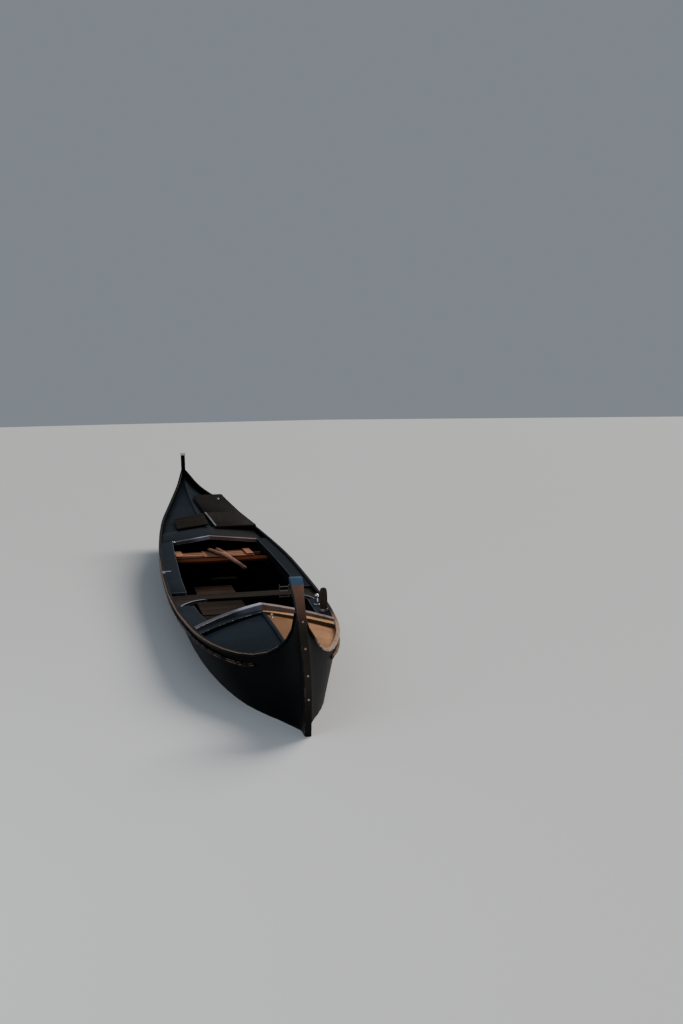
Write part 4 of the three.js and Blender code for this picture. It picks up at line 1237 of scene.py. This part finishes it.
def hull_outline():
    """The outline of the hull at the waterline, as a ring of edges."""
    bm = bmesh.new()
    for node in ("side_starboard", "side_port"):
        bm.from_mesh(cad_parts[node].data)
    bmesh.ops.remove_doubles(bm, verts=bm.verts[:], dist=MERGE_DISTANCE)
    cut_level(bm, WATERLINE + OUTLINE_SLICE, 1)
    cut_level(bm, WATERLINE - OUTLINE_SLICE, -1)
    skin = set(bmesh.ops.convex_hull(bm, input=bm.verts[:])["geom"])
    inside = [face for face in bm.faces if face not in skin]
    bmesh.ops.delete(bm, geom=inside, context="FACES_ONLY")
    loose = [vert for vert in bm.verts if not vert.link_faces]
    bmesh.ops.delete(bm, geom=loose, context="VERTS")
    cut_level(bm, WATERLINE, 1, clear_inner=True)
    bmesh.ops.remove_doubles(bm, verts=bm.verts[:], dist=OPENING_STEP)
    return bm


def spread_outwards(bm, reach):
    """Faces from a level ring of edges to a rim that lies a distance outside it."""
    ring = bm.verts[:]
    middle = sum((vert.co for vert in ring), Vector()) / len(ring)
    rim = bmesh.ops.extrude_edge_only(bm, edges=bm.edges[:])["geom"]
    for vert in [item for item in rim if isinstance(item, bmesh.types.BMVert)]:
        others = [edge.other_vert(vert) for edge in vert.link_edges]
        near = next(other for other in others if other in ring)
        others = [edge.other_vert(near) for edge in near.link_edges]
        before, after = [other for other in others if other in ring]
        outward = (before.co - after.co).cross(Vector((0, 0, 1))).normalized()
        if outward.dot(near.co - middle) < 0:
            outward.negate()
        bmesh.ops.translate(bm, verts=[vert], vec=outward * reach)


def floor_at_waterline(color, reach):
    """A plain floor at the waterline, open inside the hull."""
    bm = hull_outline()
    opening = bmesh.ops.contextual_create(bm, geom=bm.edges[:])["faces"][0]
    bmesh.ops.inset_individual(bm, faces=[opening], thickness=HALF_SKIN, use_even_offset=True)
    outer = [vert for vert in bm.verts if vert not in opening.verts[:]]
    bmesh.ops.delete(bm, geom=outer, context="VERTS")
    bmesh.ops.delete(bm, geom=[opening], context="FACES_ONLY")
    spread_outwards(bm, reach)
    bmesh.ops.recalc_face_normals(bm, faces=bm.faces[:])
    if bm.faces[:][0].normal.z < 0:
        bmesh.ops.reverse_faces(bm, faces=bm.faces[:])
    mesh = bpy.data.meshes.new("floor")
    bm.to_mesh(mesh)
    bm.free()
    graph = Graph("floor_finish", Roughness=0.85, Specular_IOR_Level=0.2)
    tone = graph.noise(0.6, 2.0, 0.5, seed=51.0)
    graph.feed("Base Color", graph.mix(tone * 0.3, shade(color), shade(color, 1.05)))
    mesh.materials.append(graph.material)
    floor = bpy.data.objects.new("floor", mesh)
    bpy.context.scene.collection.objects.link(floor)
    return floor


def add_lamp(name, kind, spot, color, energy):
    """A lamp at a place, aimed at the boat."""
    light = bpy.data.lights.new(name, kind)
    light.energy = energy
    light.color = color
    lamp = bpy.data.objects.new(name, light)
    lamp.location = spot
    lamp.rotation_mode = "QUATERNION"
    lamp.rotation_quaternion = (LAMPS_AIM - spot).to_track_quat("-Z", "Y")
    bpy.context.scene.collection.objects.link(lamp)
    return light


def soft_light(strength):
    """Even light from all round, the key light and the fill light."""
    world = bpy.data.worlds.new("studio")
    bpy.context.scene.world = world
    world.use_nodes = True
    background = world.node_tree.nodes["Background"]
    background.inputs["Color"].default_value = SKY_COLOR
    background.inputs["Strength"].default_value = strength
    key = add_lamp("key_light", "SUN", KEY_PLACE, KEY_COLOR, KEY_STRENGTH)
    key.angle = KEY_ANGLE
    fill = add_lamp("fill_light", "AREA", FILL_PLACE, FILL_COLOR, FILL_WATTS)
    fill.size = FILL_SIZE


def camera():
    """The camera at the photograph's viewing angle."""
    data = bpy.data.cameras.new("camera")
    data.sensor_width = CAMERA_SENSOR_MM
    data.lens = CAMERA_LENS_MM
    data.clip_end = CAMERA_REACH
    view = bpy.data.objects.new("camera", data)
    bpy.context.scene.collection.objects.link(view)
    columns = (CAMERA_RIGHT, CAMERA_UP, -CAMERA_AHEAD, BOW_FOOT + CAMERA_PLACE)
    view.matrix_world = Matrix([*zip(*columns), (0, 0, 0, 1)])
    bpy.context.scene.camera = view


class GONDOLA_PT_sidebar(bpy.types.Panel):
    """The settings and the operators, in the order in which they are run"""

    bl_label = "Gondola"
    bl_idname = "GONDOLA_PT_sidebar"
    bl_space_type = "VIEW_3D"
    bl_region_type = "UI"
    bl_category = "Gondola"

    def draw(self, context):
        for name, group in GROUPS.items():
            box = self.layout.box()
            for setting in group.__annotations__:
                box.prop(getattr(context.scene, name), setting)
        for maker in MAKERS:
            self.layout.operator(maker.bl_idname)


MAKERS = [
    GONDOLA_OT_hull,
    GONDOLA_OT_rails,
    GONDOLA_OT_posts,
    GONDOLA_OT_decks,
    GONDOLA_OT_side_decks,
    GONDOLA_OT_coamings,
    GONDOLA_OT_frames,
    GONDOLA_OT_floorboards,
    GONDOLA_OT_thwart,
    GONDOLA_OT_seat,
    GONDOLA_OT_rower_boards,
    GONDOLA_OT_hatch,
    GONDOLA_OT_oar_rest,
    GONDOLA_OT_fittings,
    GONDOLA_OT_stage,
]
GROUPS = {
    "gondola_paint": GondolaPaint,
    "gondola_wood": GondolaWood,
    "gondola_metal": GondolaMetal,
    "gondola_stage": GondolaStage,
}


def register():
    for group in GROUPS.values():
        bpy.utils.register_class(group)
    for maker in MAKERS:
        bpy.utils.register_class(maker)
    bpy.utils.register_class(GONDOLA_PT_sidebar)
    for name, group in GROUPS.items():
        setattr(bpy.types.Scene, name, bpy.props.PointerProperty(type=group))


def unregister():
    for name in GROUPS:
        delattr(bpy.types.Scene, name)
    bpy.utils.unregister_class(GONDOLA_PT_sidebar)
    for maker in reversed(MAKERS):
        bpy.utils.unregister_class(maker)
    for group in reversed(list(GROUPS.values())):
        bpy.utils.unregister_class(group)


def main():
    register()
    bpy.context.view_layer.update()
    bpy.ops.gondola.hull()
    bpy.ops.gondola.rails()
    bpy.ops.gondola.posts()
    bpy.ops.gondola.decks()
    bpy.ops.gondola.side_decks()
    bpy.ops.gondola.coamings()
    bpy.ops.gondola.frames()
    bpy.ops.gondola.floorboards()
    bpy.ops.gondola.thwart()
    bpy.ops.gondola.seat()
    bpy.ops.gondola.rower_boards()
    bpy.ops.gondola.hatch()
    bpy.ops.gondola.oar_rest()
    bpy.ops.gondola.fittings()
    bpy.ops.gondola.stage()


if __name__ == "__main__":
    main()
